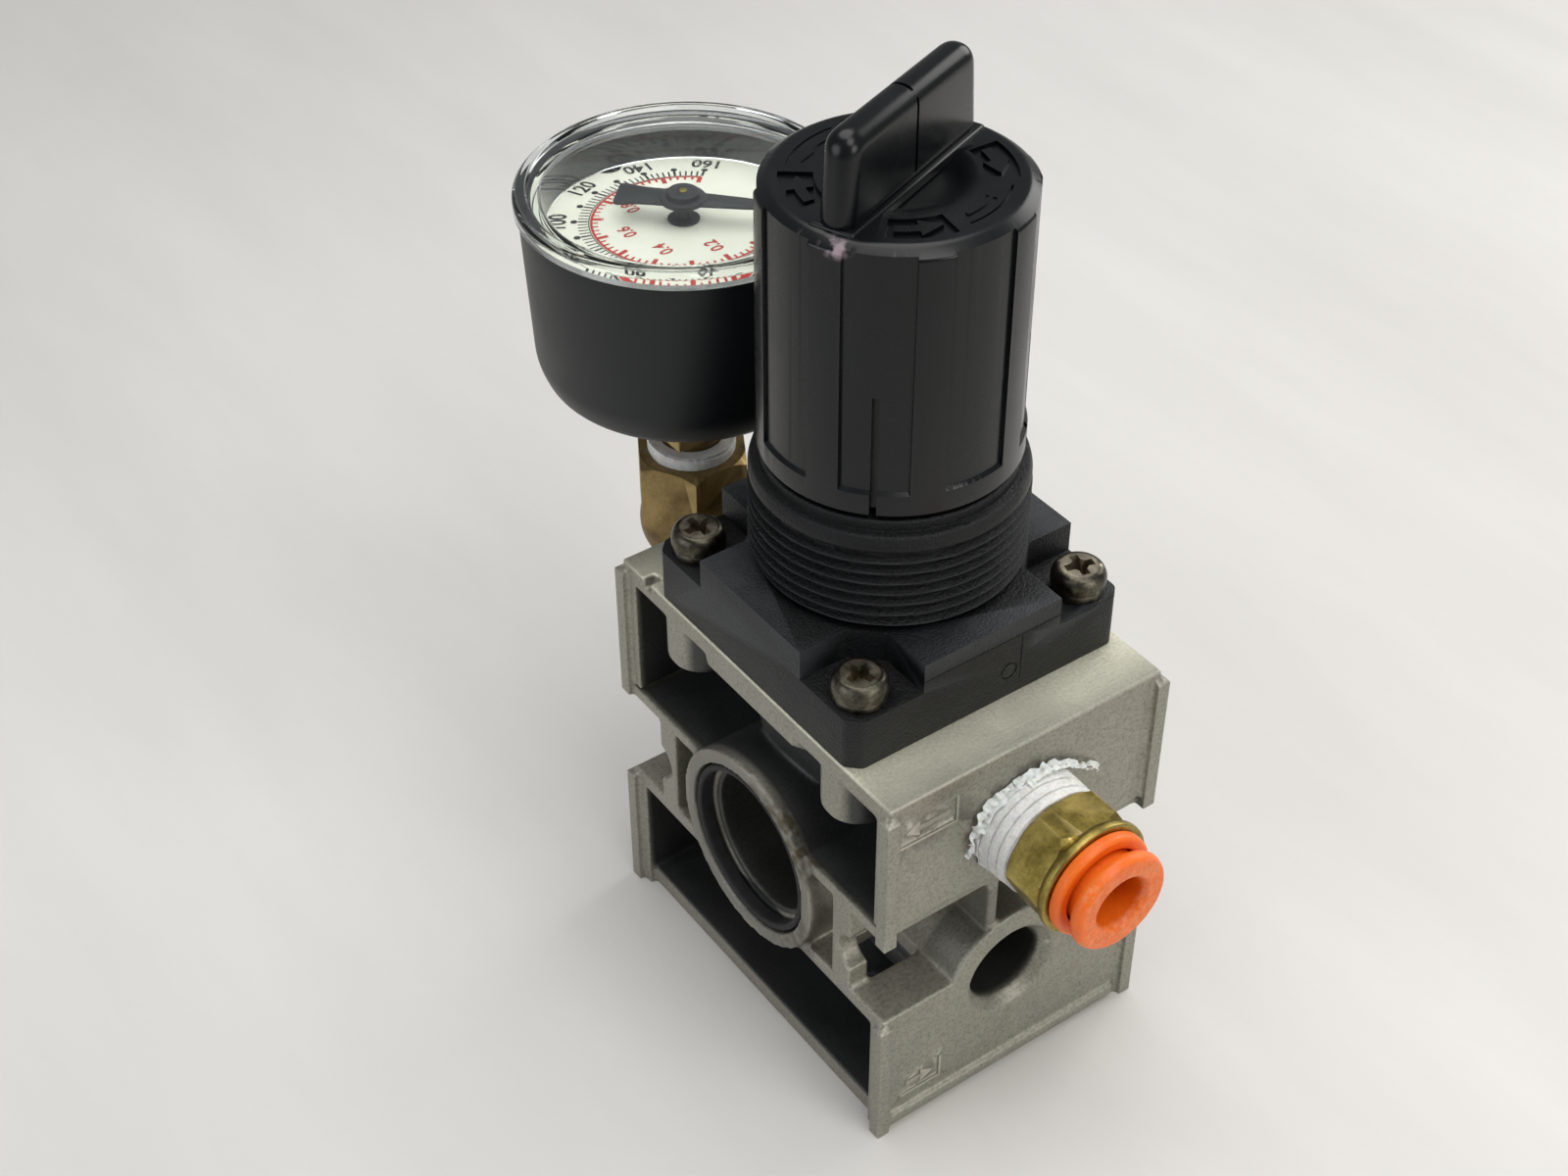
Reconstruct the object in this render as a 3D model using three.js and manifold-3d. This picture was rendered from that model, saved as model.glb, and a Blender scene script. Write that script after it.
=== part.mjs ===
// Air pressure regulator: die-cast body, moulded bonnet with a panel thread, push-to-lock knob,
// pressure gauge on an elbow and a push-in tube fitting. Millimetres, +Z up.
// Origin: bottom centre of the body, under the knob's axis. -Y is the side with the fitting.
import * as THREE from "three";
import { mergeVertices } from "three/addons/utils/BufferGeometryUtils.js";
import Module from "manifold-3d";

// ---- driving dimensions ----
const gap = 0.3; // left between pieces that fit into each other
const seam = 0.05; // left between flat faces that rest on each other
const sides = 24; // facets of a large round piece
const bossSides = 18; // facets of the body's bosses and ports
const fewSides = 12; // facets of a small round piece

const halfWidth = 20.2; // body, across X, without its corner rims
const sealFaceX = 21; // faces that meet the next module
const faceY = 27.4; // front and rear faces
const rimY = 28.2;
const plate = 2.5; // wall thickness of the front and rear plates
const bottomPlate = 3;
const lowerTop = 20.8; // top of the lower block
const lowerWeb = 18.8;
const upperBottom = 36.6; // lower edge of the upper block's plates
const upperWeb = 34.4;
const topPlate = 54; // underside of the body's top plate
const bodyTop = 56.7;
const passageZ = 28.35; // supply passage, along X
const passageR = 9.5;
const passageRing = 13.7;
const outletZ = 44.4;
const portZ = 45.2; // gauge port
const inletZ = 17.4;
const inletR = 5.4;
const screwXY = 16.1; // bonnet screws, on a square

const flangeHalf = 20; // bonnet flange
const flangeTop = 67.9;
const ledgeZ = 63.8; // corner ledges that the screws sit on
const threadMajor = 16.5; // M33 x 1.5
const threadMinor = 15.6;
const threadPitch = 1.5;
const threadStart = 69.5;
const threadTurns = 7;
const collarZ = 80;
const neckZ = 81.4;
const towerR = 12.8; // bonnet tower, inside the knob
const towerTop = 100;

const knobBottom = 83.7;
const knobTop = 117.5;
const knobR = 15.4;
const wingTop = 128;
const wingAngle = 21.5; // degrees from +X
const screwPitch = 1.5; // travel of the spring nut in one turn

const gaugeY = 42;
const caseBottom = 69.5;
const caseTop = 94.2;
const caseR = 20.3;
const lensR = 20.8;
const lensTop = 96.5;

const tapeEnd = 5.5; // push-in fitting, distances out from the front face
const hexEnd = 11.2;
const shoulderEnd = 12.5;
const guideEnd = 14.1;
const neckEnd = 15.5;
const buttonEnd = 17.3;
const tubeHoleR = 3.45; // for a 1/4 inch tube

// ---- making solids ----
const wasm = await Module();
wasm.setup();

function solid(geometry) {
  const bare = geometry.clone();
  bare.deleteAttribute("normal");
  bare.deleteAttribute("uv");
  const merged = mergeVertices(bare, 1e-4);
  return new wasm.Manifold(new wasm.Mesh({
    numProp: 3,
    vertProperties: merged.attributes.position.array,
    triVerts: new Uint32Array(merged.index.array),
  }));
}

function toGeometry(manifold) {
  const mesh = manifold.getMesh();
  const geometry = new THREE.BufferGeometry();
  geometry.setAttribute("position", new THREE.BufferAttribute(mesh.vertProperties, 3));
  geometry.setIndex(new THREE.BufferAttribute(mesh.triVerts, 1));
  return geometry;
}

const join = (...shapes) => shapes.reduce((whole, shape) => whole.add(shape));
const cut = (whole, ...tools) => tools.reduce((left, tool) => left.subtract(tool), whole);

// A box between two values on each axis.
function block([x0, x1], [y0, y1], [z0, z1]) {
  const geometry = new THREE.BoxGeometry(x1 - x0, y1 - y0, z1 - z0);
  return solid(geometry.translate((x0 + x1) / 2, (y0 + y1) / 2, (z0 + z1) / 2));
}

// A turned shape about +Z through (x, y). The profile is [radius, z] points, anticlockwise,
// that start and end on the axis or close on themselves.
function turned(profile, x = 0, y = 0, facets = sides) {
  const points = profile.map(([r, z]) => new THREE.Vector2(r, z));
  const onAxis = profile[0][0] === 0 && profile.at(-1)[0] === 0;
  if (!onAxis) points.push(points[0].clone());
  const geometry = new THREE.LatheGeometry(points, facets);
  return solid(geometry.rotateX(Math.PI / 2).translate(x, y, 0));
}

const rod = (r, z0, z1, x = 0, y = 0, facets = sides) =>
  turned([[0, z0], [r, z0], [r, z1], [0, z1]], x, y, facets);

const ring = (inner, outer, z0, z1, x = 0, y = 0, facets = sides) =>
  turned([[inner, z0], [outer, z0], [outer, z1], [inner, z1]], x, y, facets);

// The same shapes laid along an axis: +Z of the shape goes to +X, or to +Y.
const alongX = (shape) => shape.rotate([0, 90, 0]);
const alongY = (shape) => shape.rotate([-90, 0, 0]);
// A turned shape that stands out of the front face, z being the distance from that face.
const outOfFront = (shape, z) => shape.rotate([90, 0, 0]).translate([0, -faceY, z]);

// A prism: outline in X and Y, raised from z0 to z1.
function prism(outline, z0, z1) {
  const shape = new THREE.Shape(outline.map(([x, y]) => new THREE.Vector2(x, y)));
  const geometry = new THREE.ExtrudeGeometry(shape, { depth: z1 - z0, bevelEnabled: false });
  return solid(geometry.translate(0, 0, z0));
}

// A regular prism by the distance across its flats. turn is in degrees.
function flatsPrism(count, acrossFlats, z0, z1, turn = 0) {
  const r = acrossFlats / 2 / Math.cos(Math.PI / count);
  const corner = (i) => THREE.MathUtils.degToRad(turn) + (i * 2 * Math.PI) / count;
  const at = (i) => [r * Math.cos(corner(i)), r * Math.sin(corner(i))];
  return prism(Array.from({ length: count }, (_, i) => at(i)), z0, z1);
}

// A helical spring of round wire about +Z.
function coil(meanR, wireR, z0, z1, turns) {
  class Helix extends THREE.Curve {
    getPoint(t, target = new THREE.Vector3()) {
      const a = t * turns * 2 * Math.PI;
      const z = z0 + wireR + (z1 - z0 - 2 * wireR) * t;
      return target.set(meanR * Math.cos(a), meanR * Math.sin(a), z);
    }
  }
  const section = new THREE.Shape();
  section.absarc(0, 0, wireR, 0, 2 * Math.PI);
  const steps = Math.round(turns * 9);
  const options = { steps, extrudePath: new Helix(), curveSegments: 3, bevelEnabled: false };
  return solid(new THREE.ExtrudeGeometry(section, options));
}

const corners = [[-1, -1], [1, -1], [1, 1], [-1, 1]];

// ---- body ----
function lowerBlock() {
  const shapes = [
    block([-19.2, 19.2], [-faceY + 1, faceY - 1], [0, bottomPlate]),
    block([-halfWidth, halfWidth], [-20.5, 20.5], [lowerWeb, lowerTop]),
    rod(10.8, 0, lowerTop, 0, 0, bossSides),
    block([-1, 1], [10, faceY - 1], [1, lowerTop - 1]),
    alongY(rod(10, -faceY, -5, 0, 0, bossSides)).translate([0, 0, inletZ]),
  ];
  for (const s of [-1, 1]) {
    const near = (a, b) => [Math.min(s * a, s * b), Math.max(s * a, s * b)];
    shapes.push(block([-halfWidth, halfWidth], near(faceY - plate, faceY), [0, lowerTop]));
    shapes.push(block([-halfWidth, halfWidth], near(18, faceY - 1), [lowerWeb, lowerTop]));
    shapes.push(block([-19, 18], near(faceY - 0.5, rimY), [0.8, 2.7]));
  }
  return join(...shapes);
}

function upperBlock() {
  const chamber = turned([[0, 41.2], [15.4, 41.2], [15.4, 52.5], [22, 52.5], [22, 55], [0, 55]]);
  const shapes = [
    block([-halfWidth, halfWidth], [-faceY + 1, faceY - 1], [topPlate, bodyTop]),
    block([-halfWidth, halfWidth], [-faceY + 1, faceY - 1], [upperWeb, 36]),
    rod(12, 30, 44, 0, 0, bossSides),
    chamber.intersect(block([-halfWidth, halfWidth], [-26, 26], [40, 56])),
    alongY(rod(9.4, -faceY, -8, 0, 0, bossSides)).translate([0, 0, outletZ]),
    alongY(rod(8.4, 8, faceY, 0, 0, bossSides)).translate([0, 0, portZ]),
    block([-4.1, -2.5], [-faceY + 0.6, -20], [26, 38]),
  ];
  for (const s of [-1, 1]) {
    const near = (a, b) => [Math.min(s * a, s * b), Math.max(s * a, s * b)];
    shapes.push(block([-halfWidth, halfWidth], near(faceY - plate, faceY), [upperBottom, bodyTop]));
  }
  for (const [sx, sy] of corners) {
    const boss = rod(4.3, 47.2, 55, sx * screwXY, sy * screwXY, fewSides);
    shapes.push(boss.intersect(block([-halfWidth, halfWidth], [-26, 26], [40, 56])));
  }
  return join(...shapes);
}

// The corner rims stand proud of the plates on both blocks, and the columns join the blocks.
function cornerShapes() {
  const shapes = [];
  for (const [sx, sy] of corners) {
    const x = (a, b) => [Math.min(sx * a, sx * b), Math.max(sx * a, sx * b)];
    const y = (a, b) => [Math.min(sy * a, sy * b), Math.max(sy * a, sy * b)];
    shapes.push(block(x(19.2, sealFaceX), y(26.4, rimY), [0, 20]));
    shapes.push(block(x(19.2, sealFaceX), y(26.4, rimY), [34.6, 55.3]));
    shapes.push(block(x(17.3, halfWidth), y(17, 20.5), [lowerWeb, 36]));
  }
  return join(...shapes);
}

function makeBody() {
  const passage = alongX(rod(passageRing, -sealFaceX, sealFaceX)).translate([0, 0, passageZ]);
  const whole = join(lowerBlock(), upperBlock(), cornerShapes(), passage);
  const boreEnd = 2.6;
  const along = (r, x0, x1) => alongX(rod(r, x0, x1)).translate([0, 0, passageZ]);
  const inletBore = [[0, -40], [6.8, -40], [6.8, -faceY], [inletR, -faceY + 1.4], [inletR, 0], [0, 0]];
  const webDepth = [lowerWeb - 1, lowerTop + 1];
  const tools = [
    along(passageR, -30, 30),
    along(10.5, -30, -sealFaceX + boreEnd),
    along(10.5, sealFaceX - boreEnd, 30),
    along(11.7, -30, -sealFaceX + 2.3),
    rod(9.5, -1, bottomPlate + gap), // for the guide plug
    rod(8.3, -1, 24),
    rod(6.2, 24, 39.6, 0, 0, fewSides), // valve pocket
    rod(4, 38, 44, 0, 0, fewSides), // seat
    rod(12.5, 42.8, 60), // outlet chamber
    rod(16.9, 55.6, 60), // diaphragm recess
    alongY(turned(inletBore, 0, 0, bossSides)).translate([0, 0, inletZ]),
    alongY(rod(6.6, -40, -15.5, 0, 0, bossSides)).translate([0, 0, outletZ]),
    alongY(rod(4.2, -20, -8, 0, 0, fewSides)).translate([0, 0, outletZ]),
    alongY(rod(4.9, 20.5, 40, 0, 0, bossSides)).translate([0, 0, portZ]),
    alongY(rod(3, 8, 22, 0, 0, fewSides)).translate([0, 0, portZ]),
    block([-21, -18.4], [21, 23], [55.4, 58]), // locating slot beside the bonnet
    block([-17.3, 17.3], [-20.5, -14.2], webDepth).subtract(rod(10.4, 10, 30, 0, -18, fewSides)),
    block([-17.3, 17.3], [14.2, 20.5], webDepth).subtract(block([-1.5, 1.5], [10, 24], [10, 24])),
  ];
  const nozzle = ring(4, 4.9, 38.4, 39.8, 0, 0, fewSides);
  for (const [sx, sy] of corners) {
    tools.push(rod(2, 48, 60, sx * screwXY, sy * screwXY, 12));
  }
  for (const [sx, sy] of corners) {
    const saddle = sx > 0 ? rod(3, 15, 30, 0, 0, fewSides) : rod(3, -30, -15, 0, 0, fewSides);
    tools.push(alongX(saddle).translate([0, sy * 21.2, 27]));
  }
  return cut(whole, ...tools).add(nozzle);
}

// ---- valve, from the bottom up ----
const makeGuidePlug = () =>
  cut(
    turned([[0, 0], [9.2, 0], [9.2, bottomPlate], [8, bottomPlate], [8, 7], [6.3, 7], [6.3, 9.4],
      [8, 9.4], [8, 12.6], [4.6, 12.6], [4.6, 26], [3, 26], [3, 8], [0, 8]]),
    rod(1, -1, 1.5, 6.5, 0, 8),
    rod(1, -1, 1.5, -6.5, 0, 8),
  );

function makeORing(meanR, wireR, z) {
  const geometry = new THREE.TorusGeometry(meanR, wireR, 8, fewSides);
  return solid(geometry.translate(0, 0, z));
}

const makeValve = () =>
  turned([[0, 17], [1.3, 17], [1.3, 22], [2.7, 22], [2.7, 29.6], [5.4, 30.4], [5.4, 36.4],
    [1.4, 36.4], [1.4, 54.1], [0, 54.1]], 0, 0, fewSides);
const makeValveRubber = () => ring(1.7, 5.3, 36.45, 38.2, 0, 0, fewSides);
const makeValveSpring = () => coil(2.25, 0.3, 8.05, 21.95, 7);

// ---- diaphragm and spring stack ----
const makeDiaphragm = () =>
  turned([[2.4, 55.7], [9.3, 55.7], [10, 56.1], [11.4, 57.6], [12.6, 55.7], [16.6, 55.7],
    [16.6, 56.6], [13.1, 56.6], [11.4, 58.5], [9.5, 56.6], [2.4, 56.6]]);
const makeRetainer = () =>
  turned([[0.8, 54.2], [5.5, 54.2], [5.5, 55.65], [2, 55.65], [2, 60.2], [0.8, 60.2]], 0, 0, fewSides);
const makeDiaphragmPlate = () =>
  turned([[2.3, 56.65], [9, 56.65], [9, 58.2], [5.6, 58.2], [5.2, 61], [2.3, 61]], 0, 0, fewSides);
const makeAdjustingSpring = () => coil(7.8, 1.1, 58.25, 89.95, 7.5);

function makeSpringNut() {
  const nut = join(rod(10.6, 90, 94, 0, 0, fewSides), rod(6.2, 86, 90.5, 0, 0, fewSides));
  const notch = (s) => block(s < 0 ? [-12, -9.2] : [9.2, 12], [-1.7, 1.7], [85, 95]);
  return cut(nut, notch(-1), notch(1), rod(3.05, 80, 100, 0, 0, fewSides));
}

// ---- bonnet ----
function cornerPocket(sx, sy) {
  const far = flangeHalf + 1;
  const outline = [[13.5, 10], [far, 10], [far, far], [10, far], [10, 13.2]];
  const placed = outline.map(([x, y]) => [sx * x, sy * y]);
  return prism(sx * sy > 0 ? placed : placed.reverse(), ledgeZ, flangeTop + 1);
}

function makeBonnet() {
  const profile = [[0, flangeTop - 1], [15, flangeTop - 1], [15, threadStart - 0.9]];
  for (let turn = 0; turn < threadTurns; turn += 1) {
    const z = threadStart + turn * threadPitch;
    profile.push([threadMinor, z - threadPitch / 2], [threadMajor, z]);
  }
  profile.push([threadMinor, collarZ - 0.7], [threadMajor - 0.1, collarZ], [16.1, neckZ], [15.1, neckZ]);
  profile.push([15.1, 82.9], [towerR, 82.9], [towerR, 88], [12, 88], [12, 89.6], [towerR, 89.6]);
  profile.push([towerR, towerTop], [0, towerTop]);
  const c = 2.6;
  const h = flangeHalf;
  const outline = [[-h + c, -h], [h - c, -h], [h, -h + c], [h, h - c], [h - c, h], [-h + c, h],
    [-h, h - c], [-h, -h + c]];
  const solidBonnet = join(prism(outline, bodyTop + seam, flangeTop), turned(profile));
  const inside = turned([[0, 50], [14.2, 50], [14.2, 59.6], [11, 62], [11, 97.6], [0, 97.6]]);
  const keys = join(
    block([-11.5, -9.6], [-1.3, 1.3], [64, 97.8]),
    block([9.6, 11.5], [-1.3, 1.3], [64, 97.8]),
  );
  const tools = [inside.subtract(keys), rod(3.3, 90, 110, 0, 0, fewSides)];
  for (const [sx, sy] of corners) {
    tools.push(cornerPocket(sx, sy));
    tools.push(rod(2.1, 50, 70, sx * screwXY, sy * screwXY, 12));
  }
  return cut(solidBonnet, ...tools);
}

function makeBonnetScrew(x, y) {
  const head = turned([[0, 48.6], [1.7, 48.6], [1.7, 64.9], [3.35, 64.9], [3.35, 66.4], [2.7, 67.2],
    [0, 67.4]], x, y, 16);
  return cut(
    head,
    block([x - 1.9, x + 1.9], [y - 0.4, y + 0.4], [66, 68]),
    block([x - 0.4, x + 0.4], [y - 1.9, y + 1.9], [66, 68]),
  );
}

function makeSpringWasher(x, y) {
  const slot = block([x - 0.35, x + 0.35], [y, y + 4], [60, 66]);
  return cut(ring(1.95, 3.2, ledgeZ + seam, 64.85, x, y, 16), slot);
}

// ---- adjusting screw and knob ----
const makeThrustWasher = () => ring(3.3, 5.8, 97.05, 97.55, 0, 0, fewSides);

function makeAdjustingScrew() {
  const shaft = turned([[0, 80], [2.75, 80], [2.75, 95.5], [5.6, 95.5], [5.6, 97], [3, 97], [3, 100.25],
    [2.4, 100.25], [2.4, 101.05], [3, 101.05], [3, 101.4], [0, 101.4]], 0, 0, fewSides);
  return join(shaft, flatsPrism(6, 5.1, 101.2, 113));
}

function makeScrewClip() {
  return cut(ring(2.55, 4.6, 100.3, 101, 0, 0, fewSides), block([-1.2, 1.2], [0, 6], [99, 102]));
}

function makeDetentRing() {
  const slot = block([-1.5, 1.5], [0, 20], [87, 91]);
  return cut(ring(12.15, 13.15, 88.3, 89.3), slot);
}

function knobPanel(angle) {
  const depth = 0.5;
  const half = THREE.MathUtils.degToRad(15);
  const near = knobR - depth;
  const far = knobR + 2;
  const shape = new THREE.Shape();
  shape.absarc(0, 0, near, -half, half);
  shape.lineTo(far * Math.cos(half), far * Math.sin(half));
  shape.lineTo(far * Math.cos(half), -far * Math.sin(half));
  const options = { depth: 40, bevelEnabled: false, curveSegments: 4 };
  return solid(new THREE.ExtrudeGeometry(shape, options).translate(0, 0, 86.5)).rotate([0, 0, angle]);
}

function makeWing() {
  const shape = new THREE.Shape();
  const foot = 13.8;
  const head = 12.4;
  shape.moveTo(-foot, knobTop - 0.8);
  shape.lineTo(foot, knobTop - 0.8);
  shape.lineTo(head + 0.3, wingTop - 2);
  shape.absarc(head - 1.7, wingTop - 2, 2, 0, Math.PI / 2);
  shape.lineTo(-head + 1.7, wingTop);
  shape.absarc(-head + 1.7, wingTop - 2, 2, Math.PI / 2, Math.PI);
  const bevel = 1.1;
  const half = 2.05;
  const options = {
    depth: 2 * half - 2 * bevel, bevelEnabled: true, bevelThickness: bevel, bevelSize: bevel,
    bevelOffset: -bevel, bevelSegments: 2, curveSegments: 4,
  };
  const geometry = new THREE.ExtrudeGeometry(shape, options).translate(0, 0, -half + bevel);
  const footing = block([-13.6, 13.6], [-2.7, 2.7], [knobTop - 0.8, knobTop + 0.35]);
  const wing = join(solid(geometry.rotateX(Math.PI / 2)), footing);
  const slot = join(block([-0.18, 0.18], [-5, -1.6], [118, 130]), block([-0.18, 0.18], [1.6, 5], [118, 130]),
    block([-0.18, 0.18], [-5, 5], [127.5, 130]));
  return wing.subtract(slot).rotate([0, 0, wingAngle]);
}

function makeKnob() {
  const outside = turned([[0, knobBottom], [knobR, knobBottom], [knobR, knobTop - 1], [knobR - 1.5, knobTop],
    [0, knobTop]], 0, 0, 40);
  const inside = turned([[0, 80], [13.6, 80], [13.4, 114.5], [0, 114.5]]);
  const tools = [inside];
  for (let panel = 0; panel < 8; panel += 1) tools.push(knobPanel(panel * 45));
  for (let mark = 0; mark < 4; mark += 1) {
    tools.push(block([knobR - 1.1, knobR + 1], [-0.3, 0.3], [80, 99.2]).rotate([0, 0, mark * 90 + 45]));
  }
  const hub = cut(rod(5.6, 103, 115, 0, 0, fewSides), flatsPrism(6, 5.8, 100, 114.2));
  return join(cut(outside, ...tools), hub, makeWing());
}

// ---- gauge ----
function makeElbow() {
  const outer = [
    alongY(rod(4.6, 21.2, faceY + 2, 0, 0, fewSides)),
    alongY(rod(6.6, 29.2, gaugeY, 0, 0, fewSides)),
    solid(new THREE.SphereGeometry(7.3, fewSides, 12)).translate([0, gaugeY, 0]),
  ].map((shape) => shape.translate([0, 0, portZ]));
  const hex = flatsPrism(6, 14, 46.5, 56.8).translate([0, gaugeY, 0]);
  const chamfer = turned([[0, 40], [9, 40], [9, 55.6], [7.2, 56.8], [0, 56.8]], 0, gaugeY, fewSides);
  const bore = [
    alongY(rod(2.5, 20, gaugeY, 0, 0, 12)).translate([0, 0, portZ]),
    rod(2.5, portZ - 2.4, 58, 0, gaugeY, 12),
    rod(4.5, 49.6, 58, 0, gaugeY, fewSides),
  ];
  return cut(join(...outer, hex.intersect(chamfer)), ...bore);
}

const makeElbowTape = () =>
  alongY(ring(4.75, 5.6, faceY + seam, 29.1, 0, 0, fewSides)).translate([0, 0, portZ]);
const makeGaugeTape = () => ring(4.3, 5.8, 56.85, 58.8, 0, gaugeY, fewSides);

function makeGaugeSocket() {
  const stem = turned([[0, 50], [4.15, 50], [4.15, 59.2], [5, 60.2], [5, 69.4], [4.6, 69.45], [4.6, 74],
    [0, 74]], 0, gaugeY, fewSides);
  const flats = flatsPrism(4, 11, 61, 68.6, 45).translate([0, gaugeY, 0]);
  const blockIn = block([-4, 4], [gaugeY - 8, gaugeY + 4], [71.6, 77.5]);
  const arm = block([-3, 3], [gaugeY - 14, gaugeY - 6], [74, 84]);
  const post = block([-3, 3], [gaugeY - 8, gaugeY + 3], [76, 84]);
  const bore = rod(1.2, 49, 76, 0, gaugeY, 8);
  return cut(join(stem, flats, blockIn, arm, post), bore);
}

const makeGaugeCase = () =>
  turned([[5, caseBottom], [15.6, caseBottom], [18.3, 71], [19.4, 73.6], [caseR - 0.2, 90], [caseR, caseTop],
    [18.9, caseTop], [18.9, 89.2], [17.6, 89.2], [17.6, 74], [15, 71.2], [5, 71.2]], 0, gaugeY);
const makeGaugeLens = () =>
  turned([[17.7, 91.6], [18.6, 91.6], [18.6, caseTop + seam], [lensR, caseTop + seam], [lensR, 95.9],
    [lensR - 0.6, lensTop], [19.1, lensTop], [18.8, 96.1], [0, 96.1], [0, 95.2], [17.7, 95.2]], 0, gaugeY);
const makeGaugeDial = () => ring(1.2, 18.6, 89.25, 90.05, 0, gaugeY);

function makeBourdonTube() {
  class Bow extends THREE.Curve {
    getPoint(t, target = new THREE.Vector3()) {
      const a = THREE.MathUtils.degToRad(-70 + 245 * t);
      return target.set(13.4 * Math.cos(a), gaugeY + 13.4 * Math.sin(a), 81);
    }
  }
  const outline = [[-2.7, -1], [2.7, -1], [2.7, 1], [-2.7, 1]];
  const section = new THREE.Shape(outline.map(([a, b]) => new THREE.Vector2(a, b)));
  const options = { steps: 18, extrudePath: new Bow(), bevelEnabled: false };
  const tube = solid(new THREE.ExtrudeGeometry(section, options));
  const tip = block([-15, -12], [gaugeY - 1, gaugeY + 2], [79, 85.4]);
  const root = block([3.3, 5.4], [gaugeY - 14.2, gaugeY - 11.2], [78.3, 83.7]);
  return join(tube, tip, root);
}

function makeMovementFrame() {
  const plates = [84.7, 87.6].map((z) => cut(
    block([-11.4, 4], [gaugeY - 3.4, gaugeY + 3.4], [z, z + 0.6]),
    rod(0.9, z - 1, z + 2, 0, gaugeY, 10),
    rod(0.9, z - 1, z + 2, -9.45, gaugeY, 10),
  ));
  const posts = [-2.5, 2.5].map((y) => rod(0.7, 84.9, 88, 3, gaugeY + y, 8));
  return join(...plates, ...posts);
}

function makeSectorGear() {
  const shape = new THREE.Shape();
  const reach = 8.1;
  const start = THREE.MathUtils.degToRad(-44);
  shape.moveTo(0, 0);
  shape.lineTo(reach * Math.cos(start), reach * Math.sin(start));
  shape.absarc(0, 0, reach, start, THREE.MathUtils.degToRad(4), false);
  const options = { depth: 0.6, bevelEnabled: false, curveSegments: 6 };
  const wedge = solid(new THREE.ExtrudeGeometry(shape, options)).translate([-9.45, gaugeY, 86.1]);
  return join(wedge, rod(0.6, 84.75, 88.2, -9.45, gaugeY, 8), rod(1.5, 86, 86.8, -9.45, gaugeY, 10),
    block([-13, -9], [gaugeY - 0.6, gaugeY + 0.6], [86.2, 86.6]));
}

const makeLink = () => block([-14.4, -12.2], [gaugeY - 0.4, gaugeY + 1.6], [86.8, 87.2]);
const makePinion = () =>
  turned([[0, 84.75], [0.6, 84.75], [0.6, 86], [1.2, 86], [1.2, 86.8], [0.6, 86.8], [0.6, 93.2], [0, 93.2]],
    0, gaugeY, 10);

function makePointer() {
  const outline = [[-2.8, -8.5], [2.8, -8.5], [1.95, 0], [0.3, 13], [-0.3, 13], [-1.95, 0]];
  const arm = prism(outline, 93.4, 93.8);
  const hub = join(rod(2.9, 93.4, 93.9, 0, 0, fewSides), rod(2.1, 93.8, 94.9, 0, 0, fewSides));
  return join(arm, hub).rotate([0, 0, -135]).translate([0, gaugeY, 0]);
}

// ---- push-in fitting, z being the distance out from the front face ----
function makeFittingBody() {
  const outer = turned([[2.3, -11.6], [6.2, -11.6], [6.3, tapeEnd + 0.2], [6.8, tapeEnd + 0.2],
    [6.8, hexEnd - 0.3], [7.7, hexEnd + 0.3], [7.7, shoulderEnd], [6.2, shoulderEnd], [6.2, 5.2], [3.45, 5.2],
    [3.45, 3], [2.3, 3]]);
  const chamfer = turned([[6.3, tapeEnd], [7.3, tapeEnd], [8.2, tapeEnd + 0.9], [8.2, hexEnd - 0.9],
    [7.3, hexEnd], [6.3, hexEnd]]);
  return join(outer, flatsPrism(6, 14, tapeEnd, hexEnd, -2).intersect(chamfer));
}

const makeFittingTape = () =>
  turned([[6.45, 0.1], [7.45, 0.1], [7.1, tapeEnd - seam], [6.45, tapeEnd - seam]]);
const makeTubeSeal = () => ring(3.5, 6, 5.4, 7.4, 0, 0, fewSides);
const makeGrabRing = () =>
  turned([[3.4, 8.45], [5.9, 7.7], [5.9, 8.1], [3.4, 8.8]], 0, 0, fewSides);
const makeFittingGuide = () =>
  turned([[5.35, 10.6], [6, 10.6], [6, shoulderEnd + seam], [7, shoulderEnd + seam], [7, guideEnd - 0.5],
    [6.6, guideEnd], [5.35, guideEnd]]);
const makeReleaseButton = () =>
  turned([[tubeHoleR, 10.6], [5, 10.6], [5, neckEnd], [6.3, neckEnd], [6.7, neckEnd + 0.4],
    [6.7, buttonEnd - 0.5], [6.2, buttonEnd], [3.95, buttonEnd], [tubeHoleR, buttonEnd - 0.6]]);

const makePassageSeal = () =>
  alongX(ring(10.5, 11.45, -sealFaceX + 0.2, -sealFaceX + 2.2)).translate([0, 0, passageZ]);

// ---- the assembly ----
const finishes = {
  casting: { color: 0x8f8d85, roughness: 0.55, metalness: 0.9 },
  blackNylon: { color: 0x1b1c1d, roughness: 0.7, metalness: 0 },
  blackGloss: { color: 0x141516, roughness: 0.35, metalness: 0 },
  steel: { color: 0x8a8578, roughness: 0.35, metalness: 1 },
  brass: { color: 0xa98f4e, roughness: 0.4, metalness: 1 },
  rubber: { color: 0x55525a, roughness: 0.8, metalness: 0 },
  orange: { color: 0xf26a1b, roughness: 0.35, metalness: 0 },
  tape: { color: 0xe9e9e6, roughness: 0.6, metalness: 0 },
  dial: { color: 0xe6e4dc, roughness: 0.5, metalness: 0 },
  clear: { color: 0xf4f8fa, roughness: 0.05, metalness: 0 },
  whitePlastic: { color: 0xd8d6cf, roughness: 0.5, metalness: 0 },
};

const group = new THREE.Group();

function add(name, shape, finish) {
  const material = new THREE.MeshStandardMaterial(finishes[finish]);
  const mesh = new THREE.Mesh(toGeometry(shape), material);
  mesh.name = name;
  group.add(mesh);
}

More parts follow.
